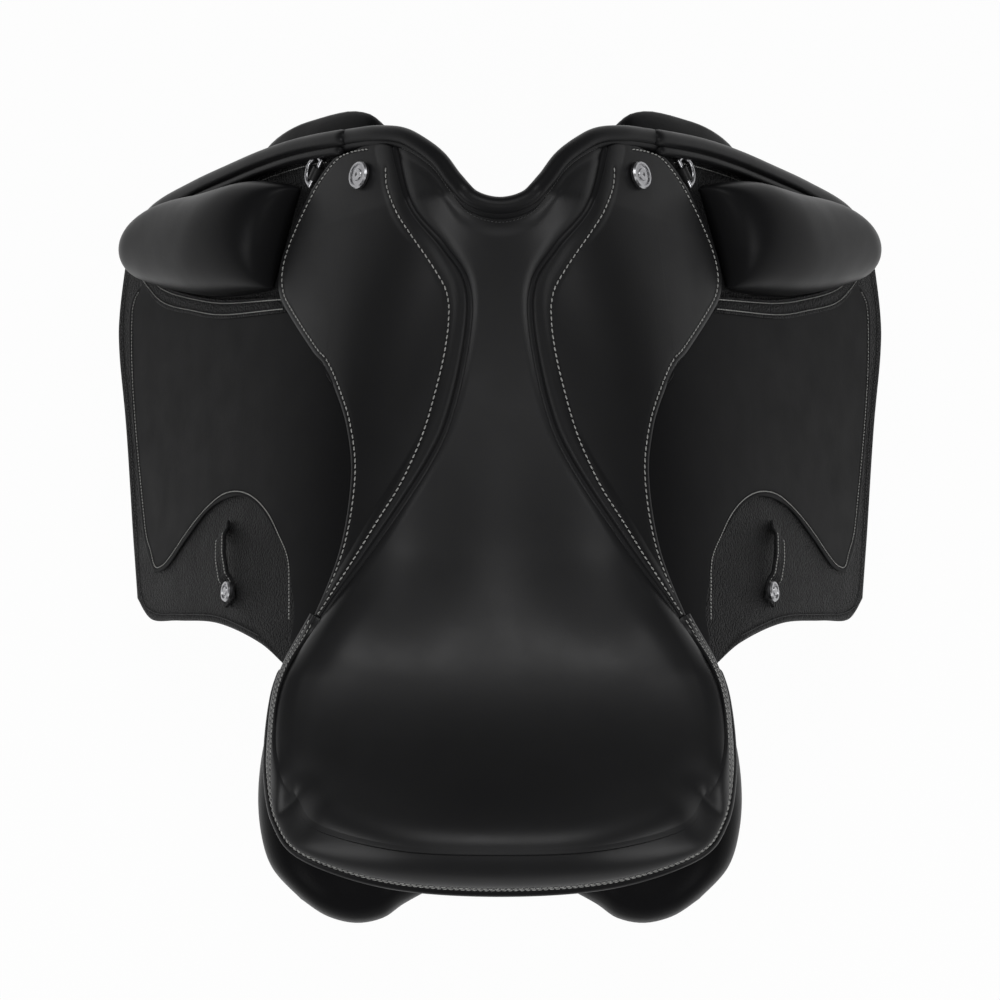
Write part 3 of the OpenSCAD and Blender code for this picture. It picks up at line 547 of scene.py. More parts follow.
# Threads, webbing and wood: colour, ribs per metre, bump and its height, roughness
woven = {"thread": ((0.60, 0.60, 0.58), 2600.0, 0.6, 0.0003, 0.6),
         "darkThread": ((0.08, 0.08, 0.082), 2600.0, 0.6, 0.0003, 0.6),
         "webbing": ((0.16, 0.155, 0.145), 700.0, 0.8, 0.0004, 0.85),
         "wood": ((0.36, 0.22, 0.11), 120.0, 0.3, 0.0003, 0.55)}
for name, (colour, scale, bump, relief, rough) in woven.items():
    finish[name] = newMaterial("beechPly" if name == "wood" else name, weaveGroup,
                               {"Colour": colour, "Scale": scale}, bump, relief,
                               {"Roughness": rough})

# Metals: colour and roughness
metals = {"nailMetal": ((0.46, 0.46, 0.47), 0.30), "barSteel": ((0.42, 0.42, 0.43), 0.34),
          "treeSteel": ((0.30, 0.30, 0.31), 0.45)}
for name, (colour, rough) in metals.items():
    finish[name] = newMaterial(name, wearGroup, {"Colour": colour, "Rough": rough}, 0.25, 0.00015,
                               {"Metallic": 1.0})
print("materials made")

# Outlines of the right side, seen from above
stretch = np.array([saddle["wide"], saddle["long"]])


def plan(points):
    return np.asarray(points, float) * stretch


def besideFold(y, off):
    return [mix(135.0, 96.0, (y + 95) / 309) + off, y]


seamLine = plan([[126, -190], [137, -165], [139, -140], [134, -110], [114, -73], [81, -29], [45, 25],
                 [30, 59], [20, 105], [21, 132], [34, 152], [56, 180], [66, 221.3]])
crestLine = plan([[-126, -190], [-110, -208], [-60, -222], [0, -225], [60, -222], [110, -208], [126, -190]])
pommelLine = plan([[-66, 221.3], [-54, 212.5], [-42.7, 201.2], [-32.7, 186.3], [-20, 172.8], [0, 167.5],
                   [20, 172.8], [32.7, 186.3], [42.7, 201.2], [54, 212.5], [66, 221.3]])
mirrored = np.array([-1.0, 1.0])


seat = {
    "foam": 17.0, "leather": 3.0,
    "sideRoll": 7.0, "sideDeep": 2.6,    # how the pad rounds down to its seam beside the twist
    "rearRoll": 13.0, "rearDeep": 5.0,   # and beside the cantle
    "crestRoll": 40.0, "crestDeep": 22.0,    # how it turns over the top of the cantle
    "rimUp": 1.6,                        # soft raised rim inside the rear seam
    "step": 2.5,
}
pommelStitch = np.array([[x, y] for x, y in zip(pommelLine[:, 0] * 0.94, pommelLine[:, 1] - 3.2)])


# Over the cantle the pad leaves the dish by a cubic law of its distance from the crest
def crestFall(x, y):
    return -seat["crestDeep"] * np.maximum(0, 1 - distanceTo(crestLine, x, y) / seat["crestRoll"]) ** 3


# The fall to the side seam fades out before the rear corners
def sideFade(y):
    return smooth((y / saddle["long"] + 192) / 48)


# The pad falls to its seam by a square law, over a wider strip behind than in front; a bell-shaped rim stands inside it
def seatRelief(x, y):
    d = np.minimum(distanceTo(seamLine, x, y), distanceTo(seamLine * mirrored, x, y))
    rear = smooth((-20 - y) / 120)
    roll, deep = mix(seat["sideRoll"], seat["rearRoll"], rear), mix(seat["sideDeep"], seat["rearDeep"],
                                                                    rear)
    down = -deep * np.maximum(0, 1 - d / roll) ** 2 * sideFade(y)
    rim = seat["rimUp"] * np.exp(-(((d - 22) / 12) ** 2)) * rear * sideFade(y)
    crease = -1.2 * np.exp(-((distanceTo(pommelLine - [0, 6.5], x, y) / 1.8) ** 2))
    return down + rim + crease + crestFall(x, y)


def makeSeat():
    front = pommelLine + np.column_stack([0 * pommelLine[:, 0],
                                          1.8 * (1 - (pommelLine[:, 0] / 66) ** 2) + 0.2])
    patch = [seamLine * mirrored, seamLine, crestLine, front]
    return leatherSheet("seat_pad", patch, -(seat["foam"] + seat["leather"]), 0.4, seat["step"], 3.0,
                        surface=seatHeight, relief=seatRelief, roundDeep=1.6, lines=(pommelStitch,),
                        outline=[seamLine[1:], seamLine[1:] * mirrored])


seatPad = makeSeat()
finishPiece(seatPad, "saddle", finish["seatCalf"], ("seat_cover", "seat_foam"))
finishPiece(stitchRow("pommel_stitches", pommelStitch, 0.5, surface=seatHeight, pitch=2.3, length=1.6,
                      width=0.6),
            "saddle", finish["darkThread"])
print("seat made")

# Skirts: the fixed part on the tree side, and the lobe that lifts
skirt = {"rollWide": [13.0, 6.0], "rollUp": 2.0, "edgeStitch": 2.6, "pitch": 3.9}
skirtSeam = plan([[128, -92], [114, -71], [81, -27], [45, 27], [31, 59], [21, 105], [22, 131], [35, 151],
                  [57, 180], [68, 220.5]])
skirtEdge = plan([[133, -96], [118, -69], [101, -28], [94, 17], [97, 50], [105, 76]])
lobeEdge = plan([[112.2, 92.6], [120, 104], [136, 132], [144, 150], [144, 168], [136, 188], [121, 212],
                 [107, 226]])
foldRear = [besideFold(y, 0) for y in (92, 130, 170, 205, 226)]
basePatch = [skirtSeam, np.concatenate([skirtEdge, plan(foldRear)]), plan([[128, -92], [133, -96]]),
             plan([[68, 220.5], [76, 225], [86, 227], besideFold(226, 0)])]
lobePatch = [plan([besideFold(y, 0) for y in (92, 130, 170, 205, 226)]), lobeEdge,
             plan([besideFold(92, 0), [112.2, 92.6]]), plan([besideFold(226, 0), [107, 226]])]
skirtOutline = [skirtSeam, np.concatenate([skirtSeam[:1], skirtEdge, lobeEdge, plan([besideFold(226.5, 0),
                                                                                   [86, 227], [76, 225],
                                                                                   [68, 220.5]])])]
innerStitch = plan([[72, 207], [71, 194], [65, 177], [56, 162], [47, 149], [39, 137], [34, 128], [32, 119],
                    [32, 112], [33, 101], [36, 85], [41, 66], [46, 49], [52, 33], [63, 10], [77, -12],
                    [91, -34],
                    [107, -57], [118, -72], [129, -88]])
edgeStitch = plan([[126.5, -84], [114.6, -66], [98.2, -27], [91.3, 17], [94.3, 50], [102.5, 77],
                   [110.5, 95.5],
                   [117.8, 105.6], [133.6, 133.2], [141.3, 150.6], [141.3, 167.4], [133.6, 186.6],
                   [118.8, 210.3],
                   [105.5, 223.4], [96, 229 - 3.5], [84, 223.6]])


def skirtRelief(x, y):
    seam = distanceTo(seamLine, x, y)
    wide = mix(skirt["rollWide"][1], skirt["rollWide"][0], smooth((y + 95) / 110))
    swell = skirt["rollUp"] * np.sin(np.pi * np.clip(seam / wide, 0, 1)) ** 0.8
    return swell - 0.7 * np.exp(-((seam / 2.0) ** 2))


def makeSkirts():
    low, high = saddle["skirtLow"], saddle["skirtLow"] + saddle["skirtThick"]
    for side, hand in sides.items():
        base = leatherSheet(f"skirt_leather_{side}", basePatch, low, high, 1.7, 1.8, relief=skirtRelief,
                            lines=(innerStitch, edgeStitch), hand=hand, outline=skirtOutline)
        finishPiece(base, "saddle", finish["skirtCalf"], (f"skirt_base_{side}",))
        lobe = leatherSheet(f"skirt_lobe_leather_{side}", lobePatch, low, high, 1.7, 1.8,
                            lines=(edgeStitch,), hand=hand,
                            outline=skirtOutline)
        finishPiece(lobe, f"skirt_{side}", finish["skirtCalf"], (f"skirt_lobe_{side}",))
        q = evenly(edgeStitch, step=0.5)
        foldAt = mix(135.0, 96.0, (q[:, 1] / saddle["long"] + 95) / 309) * saddle["wide"]
        outer = q[(q[:, 0] > foldAt + 1) & (q[:, 1] > 90)]
        rear = q[(q[:, 1] < outer[0, 1]) & (q[:, 0] <= foldAt + 1)]
        front = q[(q[:, 0] < outer[-1, 0]) & (q[:, 1] > 200) & (q[:, 0] <= foldAt + 1)]
        for part, line, body in (("rear", rear, "saddle"), ("lobe", outer, f"skirt_{side}"),
                                 ("front", front, "saddle")):
            if len(line) > 8:
                row = stitchRow(f"skirt_{part}_stitches_{side}", line, high - 0.15, pitch=skirt["pitch"],
                                hand=hand)
                finishPiece(row, body, finish["thread"])
        row = stitchRow(f"skirt_inner_stitches_{side}", innerStitch,
                        lambda x, y: high - 0.2 + skirtRelief(x, y), pitch=skirt["pitch"], hand=hand)
        finishPiece(row, "saddle", finish["thread"])


# A cord lies in the seam between pad and skirt, lower than both, and runs on under the band behind
def makeSeamCords():
    q = evenly(seamLine[2:], step=2.0)[::-1]
    z = mix(sideHeight(q[:, 0], q[:, 1]) + 4.8, seatHeight(q[:, 0], q[:, 1]) - 9,
            smooth((-75 - q[:, 1]) / 30))
    for side, hand in sides.items():
        cord = leatherTube(f"seam_cord_{side}", np.column_stack([q, z]), 3.2, 10, hand)
        finishPiece(cord, "saddle", finish["weltHide"])


makeSkirts()
makeSeamCords()
print("skirts made")

# Flaps: grained leather with a lining, and smooth leather laid over it
flapShape = {"step": 3.0, "coverStep": 2.2, "bottomStitch": 3.0}
flapRear = plan([besideFold(-95, 0.4), [156, -74], [188, -52], [220, -40], [244, -31], [257, -12]])
flapFront = plan([besideFold(240, 0.4), [110, 243], [150, 250.5], [195, 254.5], [240, 255], [268, 238]])
flapOuter = plan([[257, -12], [262, 36], [268, 112], [274, 166], [274, 195], [268, 238]])
marginInner = plan([[130, -95], [116, -67], [99, -40], [89, -8], [90, 50], [99, 100], [97, 150], [90, 205],
                    [84, 236]])
flapPatch = [marginInner, flapOuter, np.concatenate([plan([[130, -95]]), flapRear]),
             np.concatenate([plan([[84, 236]]), flapFront])]
coverInner = plan([[121, -80], [108, -52], [92, -10], [89, 40], [91, 95], [98, 138]])
coverRear = plan([[121, -80], [133.5, -82], [131, -66], [132.5, -46], [136, -26], [143, -9], [155, 13],
                  [172, 27], [194, 27], [214, 13], [230, 0], [242, 0]])
coverOuter = plan([[242, 0], [252, 30], [261, 104], [265, 166], [264, 196], [254, 206]])
coverFront = plan([[98, 138], [150, 144], [184, 158], [226, 184], [254, 206]])
coverPatch = [coverInner, coverOuter, coverRear, coverFront]
coverStitch = plan([[134.6, -66], [134.8, -47], [136, -26], [143, -8], [151, 8.5], [161, 21.5], [172, 29.6],
                    [184, 32.5], [195, 29.6],
                    [206, 23.5], [216, 16], [229, 5], [236, 2], [241.2, 4.2], [245, 16], [249.5, 31],
                    [254, 64],
                    [258.5, 104], [261.5, 140], [262.4, 166], [261.6, 192], [256, 202]])
bottomStitch = plan([[138, -93], [156, -70.4], [188, -48.6], [220, -36.6], [242, -27.6], [253.4, -11],
                     [258.6, 36],
                     [264.6, 112], [270.6, 166], [270.6, 195], [266, 222]])


def makeFlaps():
    t, lining = saddle["flapThick"], saddle["liningThick"]
    for side, hand in sides.items():
        for name, low, high, slot, look, nodes in (
                ("flap_leather", -t, 0.0, "flap_leather", "grainedHide", ("flap_margin", "flap")),
                ("flap_lining_leather", -t - lining, -t, "lining_leather", "liningHide", ("flap_lining",))):
            lines = (bottomStitch,) if name == "flap_leather" else ()
            piece = leatherSheet(f"{name}_{side}", flapPatch, low, high, flapShape["step"], 1.6,
                                 lines=lines, hand=hand)
            finishPiece(piece, None, finish[look], [f"{n}_{side}" for n in nodes])
            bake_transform(piece)
        cover = leatherSheet(f"flap_cover_leather_{side}", coverPatch, saddle["coverLow"],
                             saddle["coverLow"] + saddle["coverThick"], flapShape["coverStep"], 2.2,
                             hand=hand,
                             lines=(coverStitch,))
        finishPiece(cover, None, finish["coverCalf"], (f"flap_cover_{side}",))
        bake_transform(cover)
        row = stitchRow(f"flap_cover_stitches_{side}", coverStitch,
                        saddle["coverLow"] + saddle["coverThick"] - 0.2,
                        pitch=2.4, length=1.8, width=0.8, hand=hand)
        finishPiece(row, f"flap_{side}", finish["thread"])
        row = stitchRow(f"flap_edge_stitches_{side}", bottomStitch[1:], -0.1, pitch=2.4, length=1.8,
                        width=0.75, hand=hand)
        finishPiece(row, f"flap_{side}", finish["darkThread"])


makeFlaps()
print("flaps made")

block = {"high": 44.0, "overhang": 0.07, "around": 34, "along": 60, "lay": 0.6}
blockRear = plan([[148.5, 153.5], [184, 166], [212, 181], [236, 198], [246, 210]])
blockFront = plan([[128, 219], [148, 228], [178, 234], [206, 241], [236, 239]])
bandTop = plan([[138, 146.5], [182, 162], [210, 177], [234, 194], [251, 212]])
bandLow = plan([[135.5, 135.5], [184, 150], [212, 165], [238, 183], [258.5, 214]])


def onSide(p, h):
    base = np.dstack([p[..., 0], p[..., 1], sideHeight(p[..., 0], p[..., 1])])
    return base + np.asarray(h)[..., None] * normalsOf(sideHeight, p[..., 0], p[..., 1])


# Half-ellipses set across the block: foot width times cosine, height times sine, drawn in by a quarter circle
# at both ends
def blockPoints():
    v = 0.5 - 0.5 * np.cos(np.linspace(0, np.pi, block["along"]))
    a = np.linspace(0, np.pi, block["around"])
    endIn = np.sqrt(np.clip(1 - (1 - np.minimum(1, v / 0.34)) ** 2, 0, 1))
    endOut = np.sqrt(np.clip(1 - (1 - np.minimum(1, (1 - v) / 0.24)) ** 2, 0, 1))
    end = np.minimum(endIn, endOut)
    flare = np.minimum(mix(0.90, 1.0, endIn), mix(0.34, 1.0, endOut))
    rear, front = curveAt(blockRear, v), curveAt(blockFront, v)
    middle, halfSpan = (rear + front) / 2, (front - rear) / 2
    across = -np.cos(a) * (1 + block["overhang"] * np.sin(a) ** 2)
    foot = middle[:, None] + (flare[:, None] * across[None])[..., None] * halfSpan[:, None]
    skew = 0.5 * (1 - np.cos(a))                       # steeper in front than behind
    rise = np.sin(a) ** 0.72 * (1 - 0.10 * (1 - skew))
    tall = block["high"] * (0.16 + 0.84 * end ** 0.9) * (1 - 0.10 * v)
    h = block["lay"] + 1.0 + tall[:, None] * rise[None]
    return onSide(foot, h), v


def makeBlocks():
    outer, v = blockPoints()
    m, k = outer.shape[:2]
    under = outer.copy()
    foot = np.linspace(0, 1, k)[None, :, None]
    under = outer[:, :1] * (1 - foot) + outer[:, -1:] * foot
    under = under - np.array([0, 0, 0.6])
    verts, faces = shell(outer, under)
    for side, hand in sides.items():
        piece = makePiece(f"thigh_block_{side}_pad", verts, faces[:, ::-1], hand,
                          {key: np.zeros(len(verts)) for key in ("groove", "rim")}, sharp=80)
        finishPiece(piece, f"flap_{side}", finish["blockCalf"], (f"thigh_block_{side}",))
        high = saddle["coverLow"] + saddle["coverThick"] + block["lay"] + 2.0
        patch = [bandTop, bandLow, np.array([bandTop[0], bandLow[0]]),
                 np.array([bandTop[-1], bandLow[-1]])]
        rows = [mix(bandLow, bandTop, 0.2), mix(bandLow, bandTop, 0.8)]
        band = leatherSheet(f"block_band_leather_{side}", patch, high - 2.0, high, 1.6, 0.9, lines=rows,
                            hand=hand,
                            cut=("rear",), relief=lambda x, y: -1.8 * smooth((149 - x) / 6))
        finishPiece(band, f"flap_{side}", finish["grainedHide"], (f"block_band_{side}",))
        for n, line in enumerate(rows):
            row = stitchRow(f"block_band_stitches_{n}_{side}", line, high - 0.05, pitch=2.4, length=1.8,
                            width=0.8,
                            hand=hand, skip=12)
            finishPiece(row, f"flap_{side}", finish["thread"])


makeBlocks()
print("blocks made")

# Rolled edges: pommel binding and the roll along the front of the flap
roll = {"radius": 5.5}


def makeRolls():
    half = plan([[0, 173.5], [17, 178], [28, 190], [38, 205], [50, 217], [62, 226], [78, 232], [91, 235.4],
                 [102, 237.8]])
    path = np.concatenate([half[:0:-1] * mirrored, half])
    p = evenly(path, step=1.5)
    over = mix(saddle["seatOver"], 6.3, smooth((np.abs(p[:, 0]) - 76) / 18))
    p = np.column_stack([p, sideHeight(p[:, 0], p[:, 1]) + over])
    binding = leatherTube("pommel_roll", endsOf(p, roll["radius"]), roll["radius"], 18)
    finishPiece(binding, "saddle", finish["weltHide"], ("pommel_binding",))
    core = leatherTube("pommel_roll_core", p - [0, 3.5, 3.5], 4.5, 12)
    finishPiece(core, "saddle", finish["weltHide"])
    edge = plan([[92, 235.6], [102, 237.8], [126, 243], [151, 246.5], [177, 248.5], [205, 250.5],
                 [235, 250], [256, 238]])
    second = plan([[97, 229.5], [126, 236], [152, 239.6], [178, 242], [204, 244.5], [228, 244], [246, 235]])
    stitched = plan([[112, 227.5], [126, 231], [151, 234.6], [177, 237], [200, 240]])
    for side, hand in sides.items():
        for name, points, r in (("front_roll", edge, 5.5), ("front_roll_inner", second, 3.6)):
            q = evenly(points, step=1.5)
            n = normalsOf(sideHeight, q[:, 0], q[:, 1])
            p = np.column_stack([q, sideHeight(q[:, 0], q[:, 1])]) + (r + 0.6) * n
            piece = leatherTube(f"{name}_{side}_leather", endsOf(p, r), r, 14, hand)
            nodes = (f"front_roll_{side}",) if name == "front_roll" else ()
            finishPiece(piece, f"flap_{side}", finish["weltHide"], nodes)
        row = stitchRow(f"front_roll_stitches_{side}", stitched, 0.1, pitch=2.6, length=1.9, width=0.75,
                        hand=hand)
        finishPiece(row, f"flap_{side}", finish["thread"])


makeRolls()

# Cantle: the band behind the seat and the welt under it
cantle = {"welt": 3.5, "thick": 2.2, "bulge": 4.0, "pitch": 3.6, "rows": [(0.36, 0.80), (0.60, 0.91)]}
seamRail = plan([[112, -71], [119.5, -82], [130.5, -101], [136.5, -119], [138.6, -140], [136.6, -165],
                 [125.8, -190],
                 [110, -208], [60, -222], [0, -225]])
weltRail = np.array([[120, -66, 0], [127.5, -80, 0], [135.5, -101, 92], [140.5, -118, 96],
                     [143.5, -145, 102],
                     [143, -172, 114], [136.5, -200, 132], [119, -221, 144], [68, -238, 150],
                     [0, -243, 152.0]])
weltRail[:2, 2] = sideHeight(weltRail[:2, 0], weltRail[:2, 1]) + 9.2


def bothHalves(path):
    return np.concatenate([path, path[-2::-1] * ([-1, 1, 1] if path.shape[1] == 3 else [-1, 1])])


def bandSurface(t, s):
    # t runs round the cantle, s from the seam outwards. Beside the seat five rails are joined by a smooth curve;
    # behind it a cubic curve leaves the pad at the pad's own slope and comes down on the welt
    plan2 = curveAt(bothHalves(seamRail), t)
    low = curveAt(bothHalves(weltRail * [*stretch, 1]), t)
    ends = smooth(np.minimum(t, 1 - t) * 10)
    fade = sideFade(plan2[:, 1])
    behind = 1 - fade

    def padHeight(p):
        return seatHeight(p[:, 0], p[:, 1]) + seatRelief(p[:, 0], p[:, 1]) + 0.4

    # behind, the leather starts under the pad, inside its edge, and comes up through it, so no seam shows
    plan2 = plan2 - 4.0 * behind[:, None] * unit(low[:, :2] - plan2)
    top, side = padHeight(plan2) - 0.05 * behind, sideHeight(plan2[:, 0], plan2[:, 1]) + 9.5
    a = np.column_stack([plan2, mix(side, top - 0.3 * fade, ends)])
    out = unit((low - a) * [1, 1, 0])
    reach = np.linalg.norm((low - a)[:, :2], axis=1)[:, None]
    fall = (a[:, 2] - low[:, 2])[:, None]
    up = np.array([0, 0, 1.0])
    b = a + 0.32 * reach * out + up * (1.3 * ends)[:, None] - 0.02 * fall * up
    c = a + 0.62 * reach * out - up * fall * 0.12 + up * ends[:, None]
    d = a + (0.93 * reach + cantle["bulge"] * 0.35 * ends[:, None]) * out - up * fall * 0.45
    rails = np.stack([a, b, c, d, low + 0.3 * cantle["bulge"] * ends[:, None] * out])
    k = np.broadcast_to(np.clip(s * 4, 0, 4), (len(t), np.shape(s)[-1]))
    i = np.minimum(3, np.floor(k).astype(int))
    f = (k - i)[..., None]
    rows = np.arange(len(t))[:, None]
    p0, p1, p2, p3 = (rails[np.clip(i + n, 0, 4), rows] for n in (-1, 0, 1, 2))
    beside = p1 + 0.5 * f * ((p2 - p0) + f * (
        (2 * p0 - 5 * p1 + 4 * p2 - p3) + f * (3 * (p1 - p2) + p3 - p0)))
    climb = (padHeight(plan2 + 0.5 * out[:, :2]) - padHeight(plan2 - 0.5 * out[:, :2]))
    climb = np.convolve(np.pad(climb, 10, "edge"), np.ones(21) / 21, "valid")[:, None]
    g = np.clip(np.broadcast_to(s, k.shape), 0, 1)[..., None]
    h1 = (a + 0.42 * reach * (out + (climb + 0.16) * up))[:, None]
    h2 = (low + (0.12 * reach + 1.0) * out + 0.62 * fall * up)[:, None]
    over = (1 - g)**3 * a[:, None] + 3 * (1 - g)**2 * g * h1 + 3 * (1 - g) * g**2 * h2 + g**3 * low[:, None]
    return mix(beside, over, behind[:, None, None])


def makeCantle():
    t, s = np.linspace(0, 1, 320), np.linspace(0, 1, 44)
    outer = bandSurface(t, s)
    out = unit(np.cross(np.gradient(outer, axis=0), np.gradient(outer, axis=1)))
    if out[160, 5, 2] < 0:
        out = -out
    behind = 1 - sideFade(curveAt(bothHalves(seamRail), t)[:, 1])
    groove = sum(np.exp(-(((s[None] - mix(r0, r1, behind)[:, None]) / 0.04) ** 2)) for r0,
                 r1 in cantle["rows"])
    outer = outer - 0.4 * groove[..., None] * out
    inner = outer - cantle["thick"] * out
    verts, faces = shell(outer, inner)
    # The groove mask also darkens the band's colour in the material: painted shade in the stitched grooves
    masks = {"groove": np.concatenate([groove.ravel(), 0 * groove.ravel()]), "rim": np.zeros(len(verts))}
    first = np.cross(outer[160, 6] - outer[160, 5], outer[161, 5] - outer[160, 5])
    band = makePiece("cantle_band_leather", verts, faces if first @ out[160, 5] > 0 else faces[:, ::-1],
                     masks=masks)
    finishPiece(band, "saddle", finish["seatCalf"], ("cantle_band",))
    for n, (r0, r1) in enumerate(cantle["rows"]):
        at = mix(r0, r1, behind)[:, None]
        line = bandSurface(t, at)[:, 0]
        upward = out[np.arange(len(t)), np.rint(at[:, 0] * 43).astype(int)]
        row = stitchRow(f"cantle_stitches_{n}", None, -0.1, points3d=line, upward=upward,
                        pitch=cantle["pitch"], length=2.6, width=0.8, skip=4)
        finishPiece(row, "saddle", finish["thread"])
    p = evenly(bothHalves((weltRail * [*stretch, 1])[2:]), step=2.0) - [0, 0, cantle["welt"] + 1.0]
    welt = leatherTube("cantle_welt", endsOf(p, cantle["welt"]), cantle["welt"], 14)
    finishPiece(welt, "saddle", finish["weltHide"], ("seat_welt",))


makeCantle()
print("cantle and rolls made")

panel = {"frontDeep": 36.0, "midTop": 62.0, "rearTop": 118.0, "rearRise": 58.0}
panelPatch = [
    plan([[42, -236], [35, -150], [32, -30], [34, 100], [44, 190], [62, 236]]),
    plan([[124, -243], [142, -224], [150, -201], [152.5, -172], [150, -144], [143, -120], [122, -84],
          [106, -40], [103, 20], [103, 90],
          [120, 140], [156, 182], [178, 244]]),
    plan([[42, -236], [60, -246], [73, -255], [90, -258], [108, -253.5], [124, -243]]),
    plan([[62, 236], [84, 254], [120, 262], [150, 262], [178, 244]])]


def panelTop(x, y):
    sx, sy = x / saddle["wide"], y / saddle["long"]
    beside = sideHeight(x, y) - 27 + 12 * smooth((sx - 68) / 16)
    behind = np.minimum(seatHeight(x * 0.9, y) - 37, panel["rearTop"])
    return mix(mix(panel["midTop"], behind, smooth((-50 - sy) / 90)), beside, smooth((sy - 95) / 55))


def panelLow(x, y):
    sy = y / saddle["long"]
    rise = panel["rearRise"] * np.clip((-140 - sy) / 116, 0, 1) ** 1.6
    return mix(rise, panelTop(x, y) - panel["frontDeep"], smooth((sy - 95) / 55))


def makePanels():
    u = np.sort(np.concatenate([np.linspace(0, 1, 110), [0.002, 0.005, 0.995, 0.998]]))
    v = 0.5 - 0.5 * np.cos(np.linspace(0, np.pi, 40))
    grid = patchPoints(panelPatch, u, v)
    x, y = grid[..., 0], grid[..., 1]
    s, t = u[:, None], v[None]
    fill = np.maximum(0.06, (1 - np.abs(2 * t - 1) ** 3) ** 0.5 * (1 - np.abs(2 * s - 1) ** 16) ** 0.5)
    top, low = panelTop(x, y), panelLow(x, y)
    y = y + 6.5 * smooth((y / saddle["long"] - 232) / 30) * smooth((x - 60) / 40)
    wrinkle = 2.5 * smooth((y - 225) / 30) + 1.1 * np.sin(
        y * 0.42 + 2.5 * np.sin(x * 0.05)) * smooth((y - 215) / 25) * smooth((x - 110) / 30)
    upper = np.dstack([x, y, mix(low, top, (1 + fill) / 2) + wrinkle])
    lower = np.dstack([x, y, mix(low, top, (1 - fill) / 2)])
    verts, faces = shell(upper, lower)
    for side, hand in sides.items():
        piece = makePiece(f"panel_{side}_pad", verts, faces, hand,
                          {key: np.zeros(len(verts)) for key in ("groove", "rim")}, sharp=80)
        finishPiece(piece, "saddle", finish["panelHide"], (f"panel_{side}",))


makePanels()
print("panels made")

keeper = {"at": [179.0, -12.0], "turn": -17.0, "long": 34.0, "wide": 15.0, "thick": 2.5, "gap": 4.2,
          "lay": 0.6}


def sideFrame(p, h, turn):
    p = np.asarray(p, float) * stretch
    n = normalsOf(sideHeight, p[:1], p[1:])[0]
    across = unit(np.cross([0, 1.0, 0], n))
    along = np.cross(n, across)
    c, s = math.cos(math.radians(turn)), math.sin(math.radians(turn))
    origin = np.array([*p, sideHeight(p[:1], p[1:])[0]]) + h * n
    return origin, c * across + s * along, c * along - s * across, n


def makeKeepers():
    origin, ex, ey, ez = sideFrame(keeper["at"], keeper["lay"], keeper["turn"])
    half, gap, thick = keeper["long"] / 2, keeper["gap"], keeper["thick"]
    path = np.array([[-half - 16, 0], [-half - 6, 0], [-half - 1, 1.2], [-half + 3, gap * 0.85],
                     [-half + 9, gap], [0, gap + 0.6],
                     [half - 9, gap], [half - 3, gap * 0.85], [half + 1, 1.2], [half + 7, 0]])
    q = evenly(path, step=1.0)
    s = np.concatenate([[0, 0.01, 0.03, 0.07], np.linspace(0.12, 0.88, 12), [0.93, 0.97, 0.99, 1]])
    d = np.minimum(s, 1 - s) * keeper["wide"]
    swell = np.sqrt(np.clip(1 - (1 - np.minimum(1, d / 1.2)) ** 2, 0.05, 1)) * thick / 2
    normal2 = unit(np.stack([-np.gradient(q[:, 1]), np.gradient(q[:, 0])], -1))
    across = (s - 0.5) * keeper["wide"]

    def place(offset):
        mid = q[:, None] + (thick / 2 + offset[None, :])[..., None] * normal2[:, None]
        return origin + across[None, :, None] * ex + mid[..., :1] * ey + mid[..., 1:] * ez

    verts, faces = shell(place(swell), place(-swell))
    for side, hand in sides.items():
        piece = makePiece(f"keeper_strap_{side}", verts, faces, hand,
                          {"groove": np.zeros(len(verts)),
                           "rim": np.tile(np.exp(-d / 2), (2 * len(q), 1)).ravel()})
        finishPiece(piece, f"flap_{side}", finish["grainedHide"], (f"keeper_loop_{side}",))
        for n, off in enumerate((-5.6, 5.6)):
            line = origin + off * ex + q[4:-4, :1] * ey + (q[4:-4, 1:] + thick) * ez
            row = stitchRow(f"keeper_stitches_{n}_{side}", None, 0.15, points3d=line,
                            upward=normal2[4:-4, :1] * ey + normal2[4:-4, 1:] * ez, pitch=2.4, length=1.8,
                            width=0.8, hand=hand)
            finishPiece(row, f"flap_{side}", finish["thread"])


makeKeepers()
print("keepers made")

# CAD parts that stay
kept = {"wood": ("tree_head", "cantle_board", "tree_rail_left", "tree_rail_right"),
        "treeSteel": ("gullet_plate", "head_rivets", "spring_steel_left", "spring_steel_right"),
        "barSteel": ("stirrup_bar_left", "stirrup_bar_right", "bar_catch_left", "bar_catch_right",
                     "catch_pins"),
        "webbing": ("seat_webbing", "girth_webbing_left", "girth_webbing_right"),
        "nailMetal": ("saddle_nail_left", "saddle_nail_right", "keeper_stud_left", "keeper_stud_right",
                      "d_ring_left", "d_ring_right"),
        "strapHide": ("d_ring_tab_left", "d_ring_tab_right", "billet_front_left", "billet_front_right",
                      "billet_rear_left", "billet_rear_right")}
for name, nodes in kept.items():
    for node in nodes:
        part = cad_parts[node]
        part.data.materials.clear()
        part.data.materials.append(finish[name])

# Floor, light and camera
studio = {"floor": -0.316, "key": 12.0, "fill": 11.0, "rim": 3.0, "world": 0.10}


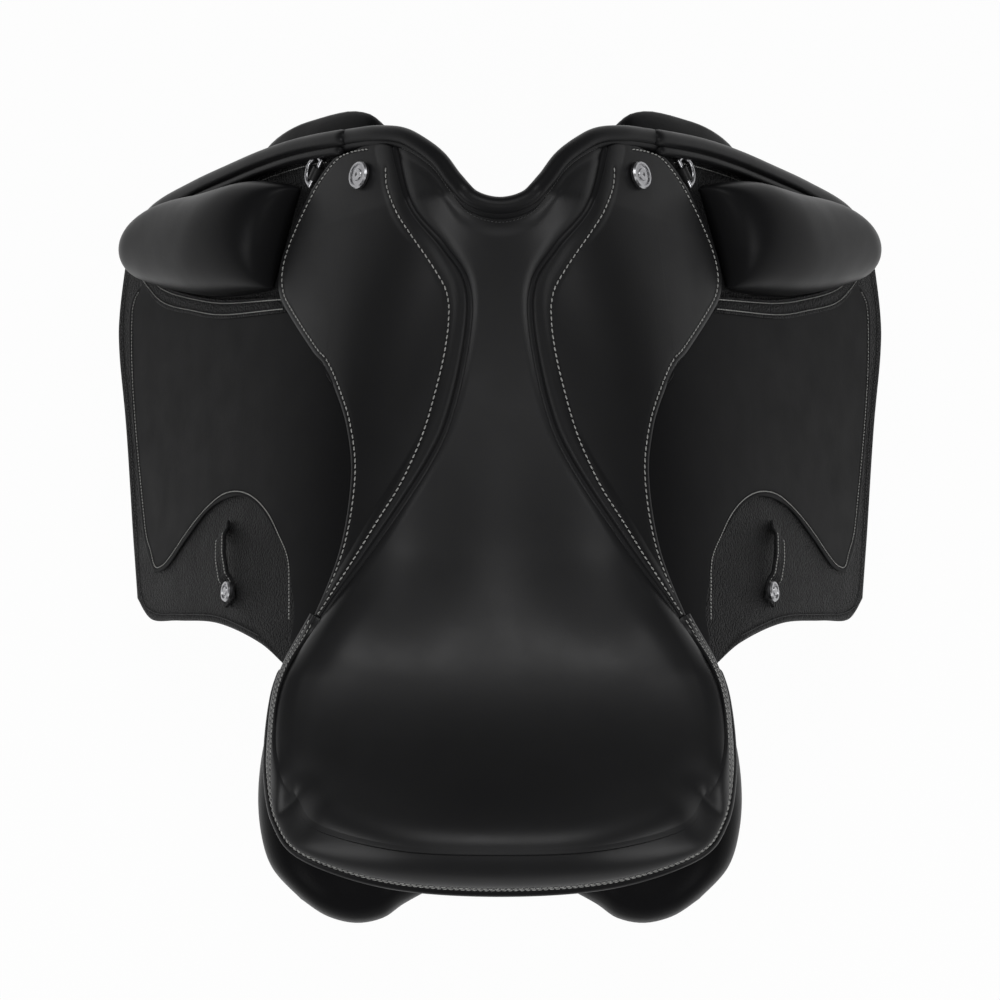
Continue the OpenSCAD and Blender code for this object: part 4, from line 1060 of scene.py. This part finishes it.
def makeStudio():
    bpy.ops.mesh.primitive_plane_add(size=14, location=(0, 0, studio["floor"]))
    floor = bpy.context.object
    floor.name = "floor"
    paint = bpy.data.materials.new("palePaper")
    paint.use_nodes = True
    nodes, links = paint.node_tree.nodes, paint.node_tree.links
    nodes["Principled BSDF"].inputs["Base Color"].default_value = (0.85, 0.85, 0.85, 1)
    nodes["Principled BSDF"].inputs["Roughness"].default_value = 0.9
    glow = addNode(nodes, "ShaderNodeEmission", Strength=1.0)
    path = nodes.new("ShaderNodeLightPath")
    blend = nodes.new("ShaderNodeMixShader")
    seen = mathNode(nodes, links, "MAXIMUM", path.outputs["Is Camera Ray"], path.outputs["Is Glossy Ray"])
    seen = mathNode(nodes, links, "MAXIMUM", seen, path.outputs["Is Transmission Ray"])
    links.new(mathNode(nodes, links, "MULTIPLY", seen, 0.97), blend.inputs[0])
    links.new(nodes["Principled BSDF"].outputs[0], blend.inputs[1])
    links.new(glow.outputs[0], blend.inputs[2])
    links.new(blend.outputs[0], nodes["Material Output"].inputs["Surface"])
    floor.data.materials.append(paint)
    world = bpy.data.worlds.new("studio")
    bpy.context.scene.world = world
    world.use_nodes = True
    wn, wl = world.node_tree.nodes, world.node_tree.links
    soft = wn["Background"]
    soft.inputs["Color"].default_value = (1, 1, 1, 1)
    soft.inputs["Strength"].default_value = studio["world"]
    white = addNode(wn, "ShaderNodeBackground", Strength=1.0)
    wmix, wpath = wn.new("ShaderNodeMixShader"), wn.new("ShaderNodeLightPath")
    wl.new(wpath.outputs["Is Camera Ray"], wmix.inputs[0])
    wl.new(soft.outputs[0], wmix.inputs[1])
    wl.new(white.outputs[0], wmix.inputs[2])
    wl.new(wmix.outputs[0], wn["World Output"].inputs["Surface"])
    for name, place, size, power in (("keyLight", (0.0, 0.95, 2.0), 1.0, studio["key"]),
                                     ("leftLight", (-1.45, -0.95, 1.15), 0.9, studio["fill"]),
                                     ("rightLight", (1.45, -0.95, 1.15), 0.9, studio["fill"]),
                                     ("rearLight", (0.0, -0.6, 1.9), 0.8, studio["rim"])):
        lamp = bpy.data.objects.new(name, bpy.data.lights.new(name, "AREA"))
        lamp.data.size, lamp.data.energy = size, power
        lamp.location = place
        lamp.rotation_euler = (Vector((0, 0, 0.1)) - Vector(place)).to_track_quat("-Z", "Y").to_euler()
        bpy.context.scene.collection.objects.link(lamp)


def makeCamera():
    data = bpy.data.cameras.new("camera")
    data.sensor_width, data.lens = 36, 138.24
    camera = bpy.data.objects.new("camera", data)
    target = Vector((0, 0, 0.12))
    up = math.radians(80)
    camera.location = target + 2.4 * Vector((0, -math.cos(up), math.sin(up)))
    camera.rotation_euler = (target - camera.location).to_track_quat("-Z", "Y").to_euler()
    bpy.context.scene.collection.objects.link(camera)
    bpy.context.scene.camera = camera


makeStudio()
makeCamera()
bpy.context.scene.view_settings.view_transform = "Standard"
print("studio made")
